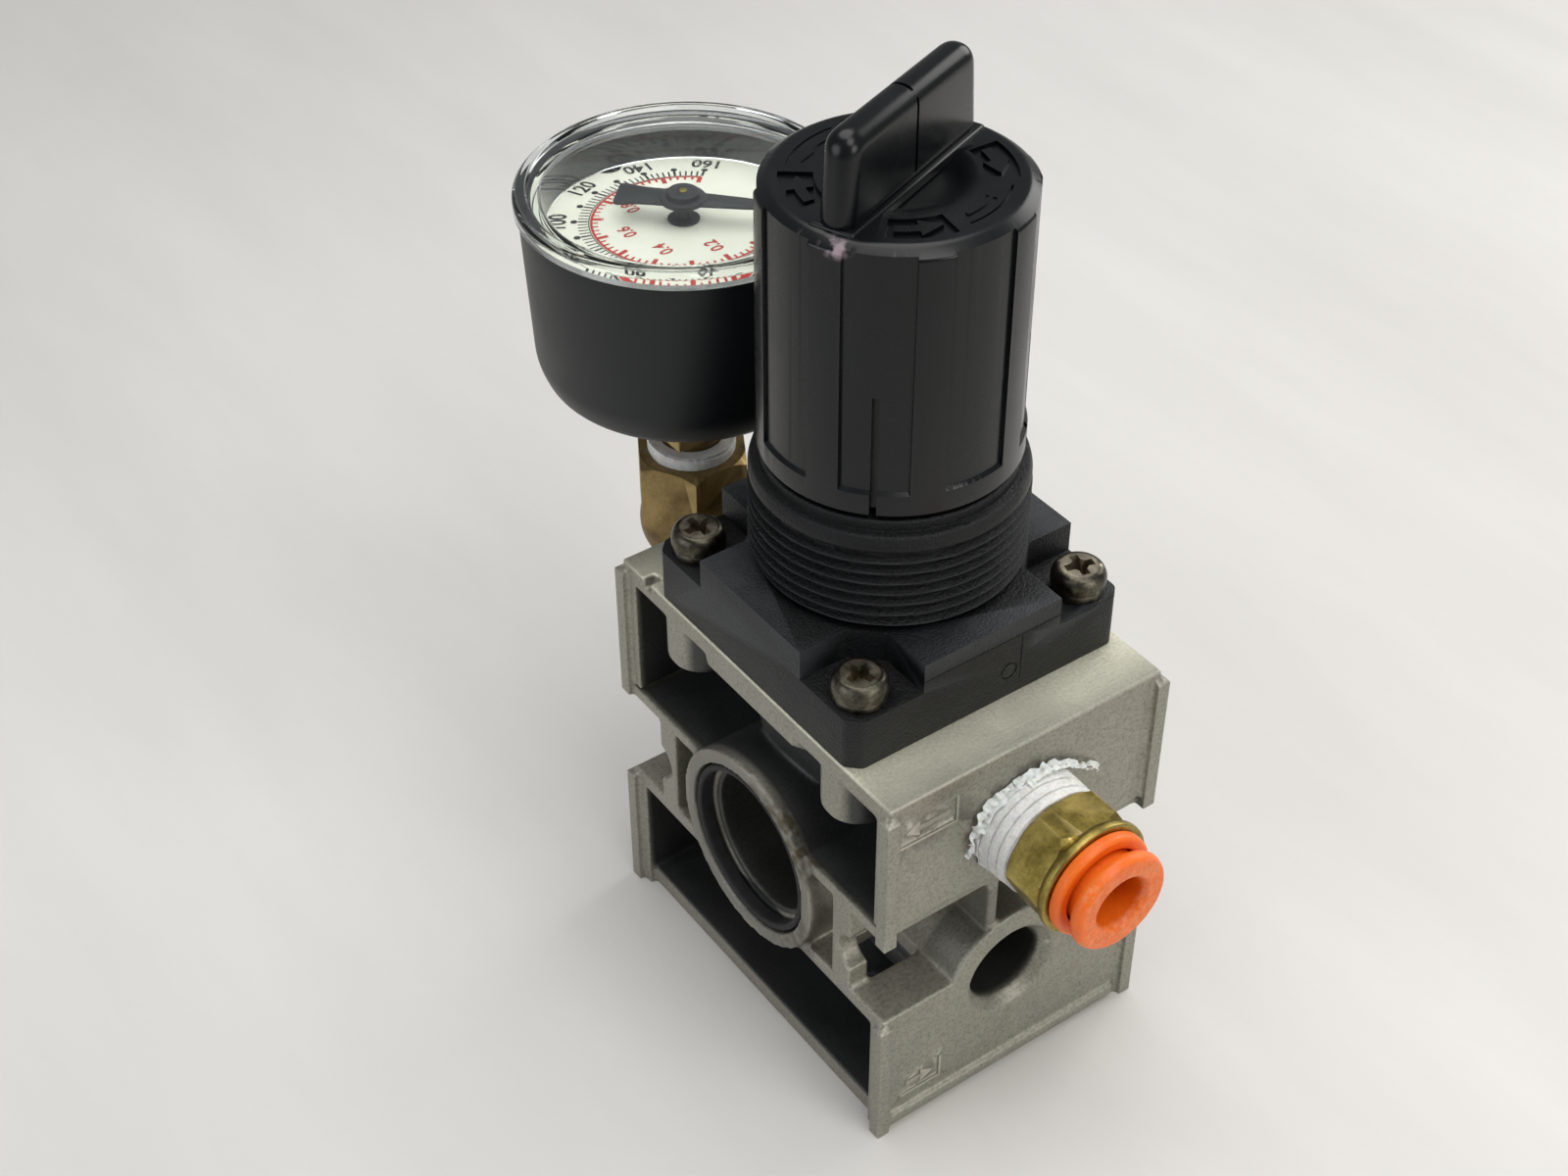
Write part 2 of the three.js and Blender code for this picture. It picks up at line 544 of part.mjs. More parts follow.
add("body", makeBody(), "casting");
add("passage_seal", makePassageSeal(), "rubber");
add("valve_guide_plug", makeGuidePlug(), "blackNylon");
add("plug_o_ring", makeORing(7.45, 0.7, 8.2), "rubber");
add("valve_spring", makeValveSpring(), "steel");
add("valve_stem", makeValve(), "brass");
add("valve_rubber", makeValveRubber(), "rubber");
add("diaphragm", makeDiaphragm(), "rubber");
add("diaphragm_retainer", makeRetainer(), "brass");
add("diaphragm_plate", makeDiaphragmPlate(), "whitePlastic");
add("adjusting_spring", makeAdjustingSpring(), "steel");
add("spring_nut", makeSpringNut(), "brass");
add("bonnet", makeBonnet(), "blackNylon");
corners.forEach(([sx, sy], i) => {
  add(`bonnet_screw_${i + 1}`, makeBonnetScrew(sx * screwXY, sy * screwXY), "steel");
  add(`spring_washer_${i + 1}`, makeSpringWasher(sx * screwXY, sy * screwXY), "steel");
});
add("thrust_washer", makeThrustWasher(), "steel");
add("adjusting_screw", makeAdjustingScrew(), "brass");
add("screw_clip", makeScrewClip(), "steel");
add("knob_detent_ring", makeDetentRing(), "steel");
add("knob", makeKnob(), "blackGloss");

add("gauge_elbow", makeElbow(), "brass");
add("elbow_tape", makeElbowTape(), "tape");
add("gauge_tape", makeGaugeTape(), "tape");
add("gauge_socket", makeGaugeSocket(), "brass");
add("gauge_case", makeGaugeCase(), "blackGloss");
add("gauge_lens", makeGaugeLens(), "clear");
add("gauge_dial", makeGaugeDial(), "dial");
add("bourdon_tube", makeBourdonTube(), "brass");
add("movement_frame", makeMovementFrame(), "brass");
add("sector_gear", makeSectorGear(), "brass");
add("gauge_link", makeLink(), "brass");
add("pinion_arbor", makePinion(), "steel");
add("gauge_pointer", makePointer(), "blackGloss");

add("fitting_body", outOfFront(makeFittingBody(), outletZ), "brass");
add("fitting_tape", outOfFront(makeFittingTape(), outletZ), "tape");
add("tube_seal", outOfFront(makeTubeSeal(), outletZ), "rubber");
add("grab_ring", outOfFront(makeGrabRing(), outletZ), "steel");
add("fitting_guide", outOfFront(makeFittingGuide(), outletZ), "orange");
add("release_button", outOfFront(makeReleaseButton(), outletZ), "orange");

export default group;
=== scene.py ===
import math

import bmesh
import bpy
from mathutils import Matrix, Vector, noise


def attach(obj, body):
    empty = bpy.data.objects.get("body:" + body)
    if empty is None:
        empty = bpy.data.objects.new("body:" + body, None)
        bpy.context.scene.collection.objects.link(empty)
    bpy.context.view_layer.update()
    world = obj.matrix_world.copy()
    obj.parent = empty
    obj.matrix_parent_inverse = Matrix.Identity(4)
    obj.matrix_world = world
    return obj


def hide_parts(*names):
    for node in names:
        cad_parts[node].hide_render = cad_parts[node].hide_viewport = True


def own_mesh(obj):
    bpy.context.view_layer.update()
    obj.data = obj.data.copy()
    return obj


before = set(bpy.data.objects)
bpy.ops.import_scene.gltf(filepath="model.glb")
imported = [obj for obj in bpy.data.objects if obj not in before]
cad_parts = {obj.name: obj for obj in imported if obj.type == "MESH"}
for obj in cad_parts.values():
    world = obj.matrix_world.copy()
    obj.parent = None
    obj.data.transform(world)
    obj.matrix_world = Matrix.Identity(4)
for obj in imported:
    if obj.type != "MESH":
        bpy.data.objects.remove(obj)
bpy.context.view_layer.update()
mm = 0.001
print("stage: frame loaded,", len(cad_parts), "nodes")


# small helpers used by every piece
def linearColour(text):  # "#8f8d85" -> linear rgba
    parts = [int(text[i:i + 2], 16) / 255 for i in (1, 3, 5)]
    return [c / 12.92 if c <= 0.04045 else ((c + 0.055) / 1.055) ** 2.4 for c in parts] + [1.0]


def addNode(tree, kind, settings=None, links=None):
    made = tree.nodes.new(kind)
    for name, value in (settings or {}).items():
        if isinstance(name, str) and hasattr(made, name):
            setattr(made, name, value)
        else:
            made.inputs[name].default_value = value
    for name, source in (links or {}).items():
        tree.links.new(source, made.inputs[name])
    return made


def setRamp(ramp, stops):  # stops: [(place, "#hex" or grey value), ...]
    colours = ramp.color_ramp.elements
    while len(colours) > 1:
        colours.remove(colours[-1])
    for i, (place, colour) in enumerate(stops):
        stop = colours[0] if i == 0 else colours.new(place)
        stop.position = place
        stop.color = linearColour(colour) if isinstance(colour, str) else (colour, colour, colour, 1)


def meshFrom(bm):
    mesh = bpy.data.meshes.new("work")
    bm.to_mesh(mesh)
    bm.free()
    return mesh


def makeObject(name, mesh):
    obj = bpy.data.objects.new(name, mesh)
    bpy.context.scene.collection.objects.link(obj)
    return obj


def takeMesh(obj):  # the mesh of a helper object that has done its work
    mesh = obj.data
    bpy.data.objects.remove(obj)
    return mesh


def applyModifiers(obj):
    bpy.context.view_layer.update()
    graph = bpy.context.evaluated_depsgraph_get()
    mesh = bpy.data.meshes.new_from_object(obj.evaluated_get(graph))
    old = obj.data
    obj.modifiers.clear()
    obj.data = mesh
    bpy.data.meshes.remove(old)
    return obj


def bevelEdges(obj, width, segments=2, angle=30):
    mod = obj.modifiers.new("bevel", "BEVEL")
    mod.width = width * mm
    mod.segments = segments
    mod.limit_method = "ANGLE"
    mod.angle_limit = math.radians(angle)
    mod.miter_outer = "MITER_ARC"
    return applyModifiers(obj)


def voxelSkin(obj, voxel, smoothing, faces):
    mod = obj.modifiers.new("skin", "REMESH")
    mod.mode = "VOXEL"
    mod.voxel_size = voxel * mm
    mod.use_smooth_shade = True
    soft = obj.modifiers.new("soft", "SMOOTH")
    soft.factor = 0.5
    soft.iterations = smoothing
    applyModifiers(obj)
    if len(obj.data.polygons) * 2 > faces:
        thin = obj.modifiers.new("thin", "DECIMATE")
        thin.ratio = faces / (len(obj.data.polygons) * 2)
        applyModifiers(obj)
    obj.data.shade_smooth()
    return obj


def combine(base, meshes, operation):  # boolean of one object with each closed mesh in turn
    tools = [makeObject("tool", mesh) for mesh in meshes]
    for tool in tools:
        mod = base.modifiers.new("cut", "BOOLEAN")
        mod.object = tool
        mod.operation = operation
        mod.solver = "MANIFOLD"
    applyModifiers(base)
    for tool in tools:
        bpy.data.objects.remove(tool)
    return base


def joined(meshes):
    bm = bmesh.new()
    for mesh in meshes:
        bm.from_mesh(mesh)
    return meshFrom(bm)


def moved(mesh, matrix):
    mesh.transform(matrix)
    if matrix.determinant() < 0:
        mesh.flip_normals()
    return mesh


def placed(x=0, y=0, z=0, turn=None):  # a matrix from mm and (degrees, axis)
    place = Matrix.Translation(Vector((x, y, z)) * mm)
    return place @ Matrix.Rotation(math.radians(turn[0]), 4, turn[1]) if turn else place


def box(xs, ys, zs):
    bm = bmesh.new()
    size = Matrix.Diagonal(((xs[1] - xs[0]) * mm, (ys[1] - ys[0]) * mm, (zs[1] - zs[0]) * mm, 1))
    middle = placed((xs[0] + xs[1]) / 2, (ys[0] + ys[1]) / 2, (zs[0] + zs[1]) / 2)
    bmesh.ops.create_cube(bm, size=1, matrix=middle @ size)
    return meshFrom(bm)


def arcPoints(cx, cy, r, start, end, steps):
    angles = [math.radians(start + (end - start) * i / steps) for i in range(steps + 1)]
    return [(cx + r * math.cos(a), cy + r * math.sin(a)) for a in angles]


def softened(points, radius, steps=3, closed=True):  # rounds the corners of an outline
    result = []
    count = len(points)
    for i, point in enumerate(points):
        here = Vector(point[:2])
        r = point[2] if len(point) > 2 else radius
        if r <= 0 or (not closed and i in (0, count - 1)):
            result.append(tuple(here))
            continue
        before = Vector(points[i - 1][:2]) - here
        after = Vector(points[(i + 1) % count][:2]) - here
        reach = min(r, before.length * 0.45, after.length * 0.45)
        a, b = here + before.normalized() * reach, here + after.normalized() * reach
        for k in range(steps + 1):
            t = k / steps
            result.append(tuple(a * (1 - t) ** 2 + here * 2 * t * (1 - t) + b * t * t))
    return result


def turned(profile, segments=96, shape=None):
    # Turns [radius, z] points about Z. They start and end on the axis or form a closed ring.
    # shape(angle, r, z) may return a changed (r, z).
    bm = bmesh.new()
    openEnded = profile[0][0] == 0 and profile[-1][0] == 0
    rows = []
    for r, z in profile:
        if r == 0:
            rows.append([bm.verts.new((0, 0, z * mm))] * segments)
            continue
        row = []
        for i in range(segments):
            a = 2 * math.pi * i / segments
            rr, zz = shape(a, r, z) if shape else (r, z)
            row.append(bm.verts.new((rr * mm * math.cos(a), rr * mm * math.sin(a), zz * mm)))
        rows.append(row)
    pairs = list(zip(rows, rows[1:])) + ([] if openEnded else [(rows[-1], rows[0])])
    for low, high in pairs:
        for i in range(segments):
            k = (i + 1) % segments
            corners = list(dict.fromkeys([low[i], low[k], high[k], high[i]]))
            if len(corners) > 2:
                bm.faces.new(corners)
    bmesh.ops.recalc_face_normals(bm, faces=bm.faces)
    return meshFrom(bm)


def rod(r, z0, z1, segments=64):
    return turned([(0, z0), (r, z0), (r, z1), (0, z1)], segments)


def ring(inner, outer, z0, z1, segments=64):
    return turned([(inner, z0), (outer, z0), (outer, z1), (inner, z1)], segments)


def prism(outline, z0, z1):
    bm = bmesh.new()
    low = [bm.verts.new((x * mm, y * mm, z0 * mm)) for x, y in outline]
    high = [bm.verts.new((x * mm, y * mm, z1 * mm)) for x, y in outline]
    bm.faces.new(low)
    bm.faces.new(high)
    for i in range(len(low)):
        k = (i + 1) % len(low)
        bm.faces.new((low[i], low[k], high[k], high[i]))
    bmesh.ops.recalc_face_normals(bm, faces=bm.faces)
    return meshFrom(bm)


def flatsPrism(count, acrossFlats, z0, z1, turn=0.0):
    r = acrossFlats / 2 / math.cos(math.pi / count)
    angles = [math.radians(turn) + i * 2 * math.pi / count for i in range(count)]
    return prism([(r * math.cos(a), r * math.sin(a)) for a in angles], z0, z1)


alongX = Matrix.Rotation(math.radians(90), 4, "Y")  # +Z of a shape to +X
alongY = Matrix.Rotation(math.radians(-90), 4, "X")  # +Z of a shape to +Y
outOfPage = Matrix.Rotation(math.radians(90), 4, "X")  # +Z of a shape to -Y, towards the front


def paint(obj, finish):
    obj.data.materials.clear()
    obj.data.materials.append(materials[finish])


def dress(obj, finish, body, node, smooth=35):  # smooth: the largest angle shaded as a curve
    if smooth:
        obj.data.shade_smooth()
        obj.data.set_sharp_from_angle(angle=math.radians(smooth))
    paint(obj, finish)
    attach(obj, body)
    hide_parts(node)
    return obj


def makePiece(name, mesh, finish, body, node, smooth=35):
    return dress(makeObject(name, mesh), finish, body, node, smooth)


# camera and lights: places in mm, angles in degrees, lens in mm, power in watts
cameraSetup = {
    "place": (-137.64, -172.18, 245.98), "yaw": 35.46, "pitch": -40.08, "roll": -0.21, "lens": 54.94,
}
lightSetup = {
    "overhead": {"place": (40, 120, 640), "size": 520, "power": 1.95, "colour": "#fffefb"},
    "front": {"place": (0, -300, 560), "size": 360, "power": 1.15, "colour": "#fffefb"},
    "low": {"place": (120, -560, 260), "size": 320, "power": 0.95, "colour": "#fffefa"},
    "right": {"place": (480, 60, 300), "size": 320, "power": 0.95, "colour": "#fffefb"},
    "window": {"place": (-480, 40, 220), "size": 320, "power": 0.6, "colour": "#f4f8ff"},
}
worldStrength = 0.29


def makeCamera():
    data = bpy.data.cameras.new("camera")
    data.lens = cameraSetup["lens"]
    data.sensor_width = 36
    data.clip_start, data.clip_end = 0.01, 10
    camera = makeObject("camera", data)
    yaw, pitch = math.radians(cameraSetup["yaw"]), math.radians(cameraSetup["pitch"])
    forward = Vector((math.sin(yaw) * math.cos(pitch), math.cos(yaw) * math.cos(pitch), math.sin(pitch)))
    turn = forward.to_track_quat("-Z", "Y").to_matrix().to_4x4()
    roll = Matrix.Rotation(math.radians(cameraSetup["roll"]), 4, "Z")
    camera.matrix_world = placed(*cameraSetup["place"]) @ turn @ roll
    bpy.context.scene.camera = camera
    bpy.context.scene.view_settings.view_transform = "Standard"  # paints and plastics keep their own colour


def makeLights():
    for name, spec in lightSetup.items():
        data = bpy.data.lights.new(name, "AREA")
        data.energy = spec["power"]
        data.shape = "DISK"
        data.size = spec["size"] * mm
        data.color = linearColour(spec["colour"])[:3]
        light = makeObject(name, data)
        place = Vector(spec["place"]) * mm
        aim = Vector((0, 0.01, 0.06)) - place
        light.matrix_world = Matrix.Translation(place) @ aim.to_track_quat("-Z", "Y").to_matrix().to_4x4()
    world = bpy.data.worlds.new("studio")
    bpy.context.scene.world = world
    world.use_nodes = True
    tree = world.node_tree
    tree.nodes.clear()
    coords = addNode(tree, "ShaderNodeTexCoord")
    split = addNode(tree, "ShaderNodeSeparateXYZ", links={0: coords.outputs["Generated"]})
    ramp = addNode(tree, "ShaderNodeValToRGB", links={0: split.outputs["Z"]})
    setRamp(ramp, [(0.0, "#e8e8e6"), (0.45, "#dfe2e5"), (1.0, "#ffffff")])
    sky = addNode(tree, "ShaderNodeBackground", {"Strength": worldStrength}, {"Color": ramp.outputs["Color"]})
    addNode(tree, "ShaderNodeOutputWorld", links={"Surface": sky.outputs["Background"]})


def newMaterial(name):
    material = bpy.data.materials.new(name)
    material.use_nodes = True
    tree = material.node_tree
    tree.nodes.clear()
    out = addNode(tree, "ShaderNodeOutputMaterial")
    shader = addNode(tree, "ShaderNodeBsdfPrincipled")
    tree.links.new(shader.outputs["BSDF"], out.inputs["Surface"])
    coords = addNode(tree, "ShaderNodeTexCoord")
    return material, tree, shader, coords.outputs["Object"], out


def grainScale(millimetres):  # noise scale that gives features of about that size, in metres
    return 1 / (millimetres * mm)


def zoneMask(tree, place, zone):
    # 1 inside a box or round zone of the object, in mm, falling to 0 over its soft edge
    middle = [v * mm for v in zone["at"]]
    half = [v * mm for v in zone["half"]]
    offset = addNode(tree, "ShaderNodeVectorMath", {"operation": "SUBTRACT", 1: middle}, {0: place})
    inside = addNode(tree, "ShaderNodeVectorMath", {"operation": "DIVIDE", 1: half}, {0: offset.outputs[0]})
    if zone.get("round"):
        length = addNode(tree, "ShaderNodeVectorMath", {"operation": "LENGTH"}, {0: inside.outputs[0]})
        reach = length.outputs["Value"]
    else:
        size = addNode(tree, "ShaderNodeVectorMath", {"operation": "ABSOLUTE"}, {0: inside.outputs[0]})
        axes = addNode(tree, "ShaderNodeSeparateXYZ", {}, {0: size.outputs[0]})
        wide = addNode(tree, "ShaderNodeMath", {"operation": "MAXIMUM"},
                       {0: axes.outputs[0], 1: axes.outputs[1]})
        far = addNode(tree, "ShaderNodeMath", {"operation": "MAXIMUM"},
                      {0: wide.outputs[0], 1: axes.outputs[2]})
        reach = far.outputs[0]
    falling = {"interpolation_type": "SMOOTHSTEP", "From Min": 1.0, "From Max": 1.0 - zone["soft"],
               "To Max": zone["amount"]}
    return addNode(tree, "ShaderNodeMapRange", falling, {"Value": reach}).outputs["Result"]


def paintedSurface(name, spec):
    # A surface from two noises: grain (fine bump and speckle) and mottle (colour and roughness).
    material, tree, shader, place, _ = newMaterial(name)
    for socket, value in spec["shader"].items():
        shader.inputs[socket].default_value = value
    grain = addNode(tree, "ShaderNodeTexNoise", {"Scale": grainScale(spec["grain"]), "Detail": 3.0,
                    "Roughness": 0.6}, {"Vector": place})
    mottle = addNode(tree, "ShaderNodeTexNoise", {"Scale": grainScale(spec["mottle"]), "Detail": 5.0,
                     "Roughness": 0.62, "Distortion": 0.4}, {"Vector": place})
    colours = addNode(tree, "ShaderNodeValToRGB", links={0: mottle.outputs["Fac"]})
    setRamp(colours, spec["colours"])
    speckle = addNode(tree, "ShaderNodeValToRGB", links={0: grain.outputs["Fac"]})
    setRamp(speckle, spec["speckle"])
    both = addNode(tree, "ShaderNodeMix", {"data_type": "RGBA", "blend_type": "MULTIPLY", "Factor": 1.0},
                   {6: colours.outputs["Color"], 7: speckle.outputs["Color"]})
    colour = both.outputs[2]
    if "edge" in spec:  # rubbed or cleaner edges, and painted highlights along edges and thread crests, both from the mesh's own convex creases
        geometry = addNode(tree, "ShaderNodeNewGeometry")
        edgeWearAndSheen = addNode(tree, "ShaderNodeMapRange", {"From Min": spec["edge"][1], "From Max": spec["edge"][2]},
                       {"Value": geometry.outputs["Pointiness"]})
        broken = addNode(tree, "ShaderNodeMath", {"operation": "MULTIPLY"},
                         {0: edgeWearAndSheen.outputs["Result"], 1: mottle.outputs["Fac"]})
        rim = addNode(tree, "ShaderNodeMix", {"data_type": "RGBA", 7: linearColour(spec["edge"][0])},
                      {"Factor": broken.outputs[0], 6: colour})
        colour = rim.outputs[2]
    for zone in spec.get("zones", []):
        mask = zoneMask(tree, place, zone)
        if zone.get("broken"):
            patchy = addNode(tree, "ShaderNodeTexNoise", {"Scale": grainScale(zone["broken"]), "Detail": 4.0},
                             {"Vector": place})
            sharp = addNode(tree, "ShaderNodeMapRange", {"From Min": 0.42, "From Max": 0.58},
                            {"Value": patchy.outputs["Fac"]})
            mask = addNode(tree, "ShaderNodeMath", {"operation": "MULTIPLY"},
                           {0: mask, 1: sharp.outputs["Result"]}).outputs[0]
        tint = addNode(tree, "ShaderNodeMix", {"data_type": "RGBA", 7: linearColour(zone["colour"])},
                       {"Factor": mask, 6: colour})
        colour = tint.outputs[2]
    tree.links.new(colour, shader.inputs["Base Color"])
    rough = addNode(tree, "ShaderNodeMapRange", {"To Min": spec["rough"][0], "To Max": spec["rough"][1],
                    "From Min": 0.3, "From Max": 0.7}, {"Value": mottle.outputs["Fac"]})
    tree.links.new(rough.outputs["Result"], shader.inputs["Roughness"])
    bump = addNode(tree, "ShaderNodeBump", {"Strength": spec["bump"][0], "Distance": spec["bump"][1] * mm},
                   {"Height": grain.outputs["Fac"]})
    tree.links.new(bump.outputs["Normal"], shader.inputs["Normal"])
    return material


bodyZones = [
    # painted shade: the pockets are painted dark blue-grey for the shade deep inside them, over the darker
    # skin that the mould leaves where the sanding never reached
    {"at": (0, 0, 10.6), "half": (20.3, 26.4, 8.3), "soft": 0.06, "amount": 0.88, "colour": "#2a2f33"},
    {"at": (0, 0, 45), "half": (20.1, 26.3, 9.6), "soft": 0.05, "amount": 0.86, "colour": "#2f3438"},
    # both side faces round the passage ring are painted a darker grey
    {"at": (-20.8, 0, 28.35), "half": (1.6, 14.2, 14.2), "soft": 0.15, "amount": 0.6, "colour": "#6d6d68"},
    {"at": (20.8, 0, 28.35), "half": (1.6, 14.2, 14.2), "soft": 0.15, "amount": 0.6, "colour": "#6d6d68"},
    # painted highlight: the top land is painted palest in place of the sheen of a lamp behind and above it,
    # with broken darker patches over its blasted grain
    {"at": (0, 0, 57.2), "half": (30, 30, 0.9), "soft": 0.4, "amount": 1.0, "colour": "#f0eed9"},
    {"at": (0, 0, 57.2), "half": (30, 30, 0.9),
     "soft": 0.4, "amount": 0.34, "colour": "#a9a692", "broken": 0.45},
    # painted shade in the front groove under the overhang of the upper plate
    {"at": (0, -24, 27.5), "half": (22, 3.2, 6.6), "soft": 0.2, "amount": 0.45, "colour": "#3f3e3b"},
    # painted shade inside the supply passage and its counterbore
    {"at": (0, 0, 28.35), "half": (60, 10.9, 10.9), "round": True,
     "soft": 0.04, "amount": 0.8, "colour": "#25282a"},
    # brown stain of old grease around the sealing counterbore
    {"at": (-21, -7, 37), "half": (2.2, 9, 5),
     "soft": 0.5, "amount": 0.85, "colour": "#4f4128", "broken": 1.6},
    {"at": (-21, -9, 22), "half": (2.2, 5, 6),
     "soft": 0.5, "amount": 0.6, "colour": "#4f4634", "broken": 1.6},
]
knobZones = [
    # a knock on the rim at the foot of the wing
    {"at": (-13.5, -6.9, 116.8), "half": (2.1, 2.5, 1.5), "round": True, "soft": 0.7, "amount": 0.8,
     "colour": "#a3929a", "broken": 1.3},
]
buttonZones = [
    # scuffs on the face that a thumb presses
    {"at": (0, -44.6, 44.4), "half": (7, 1.2, 7),
     "soft": 0.4, "amount": 0.24, "colour": "#f2b48a", "broken": 0.55},
    {"at": (0, -44.6, 44.4), "half": (7, 1.2, 7),
     "soft": 0.4, "amount": 0.12, "colour": "#8f4a22", "broken": 0.9},
]
surfaces = {
    # die-cast aluminium, shot-blasted: grey with a sandy sparkle, and paler edges that are partly rubbed wear
    # and partly painted highlight
    "castAluminium": {"grain": 0.42, "mottle": 6.0, "colours": [(0.3, "#989589"), (0.7, "#a7a497")],
                      "speckle": [(0.3, 0.6), (0.52, 0.9), (0.72, 1.0)], "rough": (0.4, 0.52),
                      "bump": (0.5, 0.1), "edge": ("#d0ccbe", 0.52, 0.62), "zones": bodyZones,
                      "shader": {"Metallic": 0.6}},
    # glass-filled nylon: dull black whose fibres leave a coarse grain; its edges and thread crests get a
    # paler painted highlight
    "glassFilledNylon": {"grain": 0.32, "mottle": 5.0, "colours": [(0.3, "#07090c"), (0.7, "#0e1013")],
                         "speckle": [(0.35, 0.2), (0.6, 1.0)], "rough": (0.38, 0.5),
                         "bump": (1.0, 0.2), "edge": ("#44474a", 0.52, 0.62),
                         "shader": {"IOR": 1.53, "Specular IOR Level": 0.26}},
    # moulded acetal: smooth deep black with a soft sheen and faint handling marks
    "mouldedAcetal": {"grain": 0.5, "mottle": 9.0, "colours": [(0.3, "#06080a"), (0.75, "#0a0d10")],
                      "speckle": [(0.3, 0.85), (0.6, 1.0)], "rough": (0.22, 0.32), "zones": knobZones,
                      "bump": (0.06, 0.02), "shader": {"IOR": 1.48, "Specular IOR Level": 0.36}},
    # enamelled steel cup: satin black with a slight orange peel
    "satinEnamel": {"grain": 0.9, "mottle": 12.0, "colours": [(0.3, "#0d1013"), (0.75, "#12161a")],
                    "speckle": [(0.3, 0.9), (0.6, 1.0)], "rough": (0.38, 0.46),
                    "bump": (0.12, 0.02), "shader": {"IOR": 1.5, "Specular IOR Level": 0.4}},
    # machined brass, tarnished: olive brown with darker patches and bright rubbed corners
    "agedBrass": {"grain": 0.5, "mottle": 3.4,
                  "colours": [(0.25, "#685a2b"), (0.5, "#9c8a48"), (0.78, "#bda95f")],
                  "speckle": [(0.28, 0.7), (0.6, 1.0)], "rough": (0.3, 0.46),
                  "bump": (0.2, 0.03), "edge": ("#e6d08c", 0.52, 0.6), "shader": {"Metallic": 1.0}},
    # brass left brown by handling and heat, on the gauge's side
    "brownBrass": {"grain": 0.5, "mottle": 4.0,
                   "colours": [(0.25, "#5c4b2e"), (0.5, "#857048"), (0.78, "#a08a5c")],
                   "speckle": [(0.28, 0.7), (0.6, 1.0)], "rough": (0.42, 0.56),
                   "bump": (0.18, 0.03), "edge": ("#cdb47c", 0.52, 0.6), "shader": {"Metallic": 0.9}},
    # nickel-plated steel gone dull and slightly yellow
    "wornNickel": {"grain": 0.35, "mottle": 1.6,
                   "colours": [(0.3, "#3b3934"), (0.55, "#605c50"), (0.8, "#85806f")],
                   "speckle": [(0.3, 0.6), (0.6, 1.0)], "rough": (0.28, 0.46),
                   "bump": (0.2, 0.03), "edge": ("#cfc4ae", 0.52, 0.62), "shader": {"Metallic": 1.0}},
    # nitrile rubber under dust: nearly black, with violet-grey dust where it was rubbed
    "dustyNitrile": {"grain": 0.25, "mottle": 1.8, "colours": [(0.4, "#0b0a0c"), (0.85, "#353136")],
                     "speckle": [(0.3, 0.7), (0.6, 1.0)], "rough": (0.6, 0.85),
                     "bump": (0.4, 0.05), "shader": {"IOR": 1.52}},
    # moulded polypropylene in signal orange, softly glossy
    "orangePolypropylene": {"grain": 0.6, "mottle": 4.0, "colours": [(0.3, "#ee660a"), (0.7, "#f57414")],
                            "speckle": [(0.25, 0.9), (0.6, 1.0)], "rough": (0.34, 0.5),
                            "bump": (0.12, 0.03), "edge": ("#f6a060", 0.54, 0.7), "zones": buttonZones,
                            "shader": {"IOR": 1.49, "Subsurface Weight": 0.1, "Subsurface Scale": 0.001}},
    # thread-seal tape: soft white film with grey smudges
    "sealTape": {"grain": 0.35, "mottle": 1.5,
                 "colours": [(0.2, "#cccbc7"), (0.45, "#e6e6e3"), (0.8, "#f2f2f0")],
                 "speckle": [(0.25, 0.8), (0.6, 1.0)], "rough": (0.45, 0.65),
                 "bump": (0.5, 0.05),
                 "shader": {"IOR": 1.35, "Subsurface Weight": 0.15, "Subsurface Scale": 0.0008}},
    # enamelled dial plate: warm white, hardly glossy
    "dialEnamel": {"grain": 0.4, "mottle": 9.0, "colours": [(0.3, "#f3efe0"), (0.7, "#f8f4e8")],
                   "speckle": [(0.3, 0.97), (0.6, 1.0)], "rough": (0.4, 0.5),
                   "bump": (0.08, 0.02), "shader": {"IOR": 1.5}},
    # printing inks on the dial
    "blackInk": {"grain": 0.3, "mottle": 2.0, "colours": [(0.3, "#161618"), (0.7, "#222224")],
                 "speckle": [(0.3, 0.8), (0.6, 1.0)], "rough": (0.5, 0.6), "bump": (0.1, 0.01),
                 "shader": {"IOR": 1.5}},
    "redInk": {"grain": 0.3, "mottle": 2.0, "colours": [(0.3, "#b8221c"), (0.7, "#c83428")],
               "speckle": [(0.3, 0.85), (0.6, 1.0)], "rough": (0.5, 0.6), "bump": (0.1, 0.01),
               "shader": {"IOR": 1.5}},
    # black paint on thin sheet, for the pointer
    "pointerPaint": {"grain": 0.4, "mottle": 3.0, "colours": [(0.3, "#1d1e21"), (0.7, "#27282c")],
                     "speckle": [(0.3, 0.85), (0.6, 1.0)], "rough": (0.4, 0.55), "bump": (0.15, 0.02),
                     "shader": {"IOR": 1.5}},
    # bright spring steel inside
    "springSteel": {"grain": 0.4, "mottle": 2.0, "colours": [(0.3, "#8a8a8c"), (0.7, "#b2b2b4")],
                    "speckle": [(0.3, 0.8), (0.6, 1.0)], "rough": (0.25, 0.4), "bump": (0.1, 0.02),
                    "shader": {"Metallic": 1.0}},
    # pale acetal for inner mouldings
    "paleAcetal": {"grain": 0.5, "mottle": 4.0, "colours": [(0.3, "#cfccc3"), (0.7, "#dbd8d0")],
                   "speckle": [(0.3, 0.9), (0.6, 1.0)], "rough": (0.4, 0.5), "bump": (0.1, 0.02),
                   "shader": {"IOR": 1.48}},
}


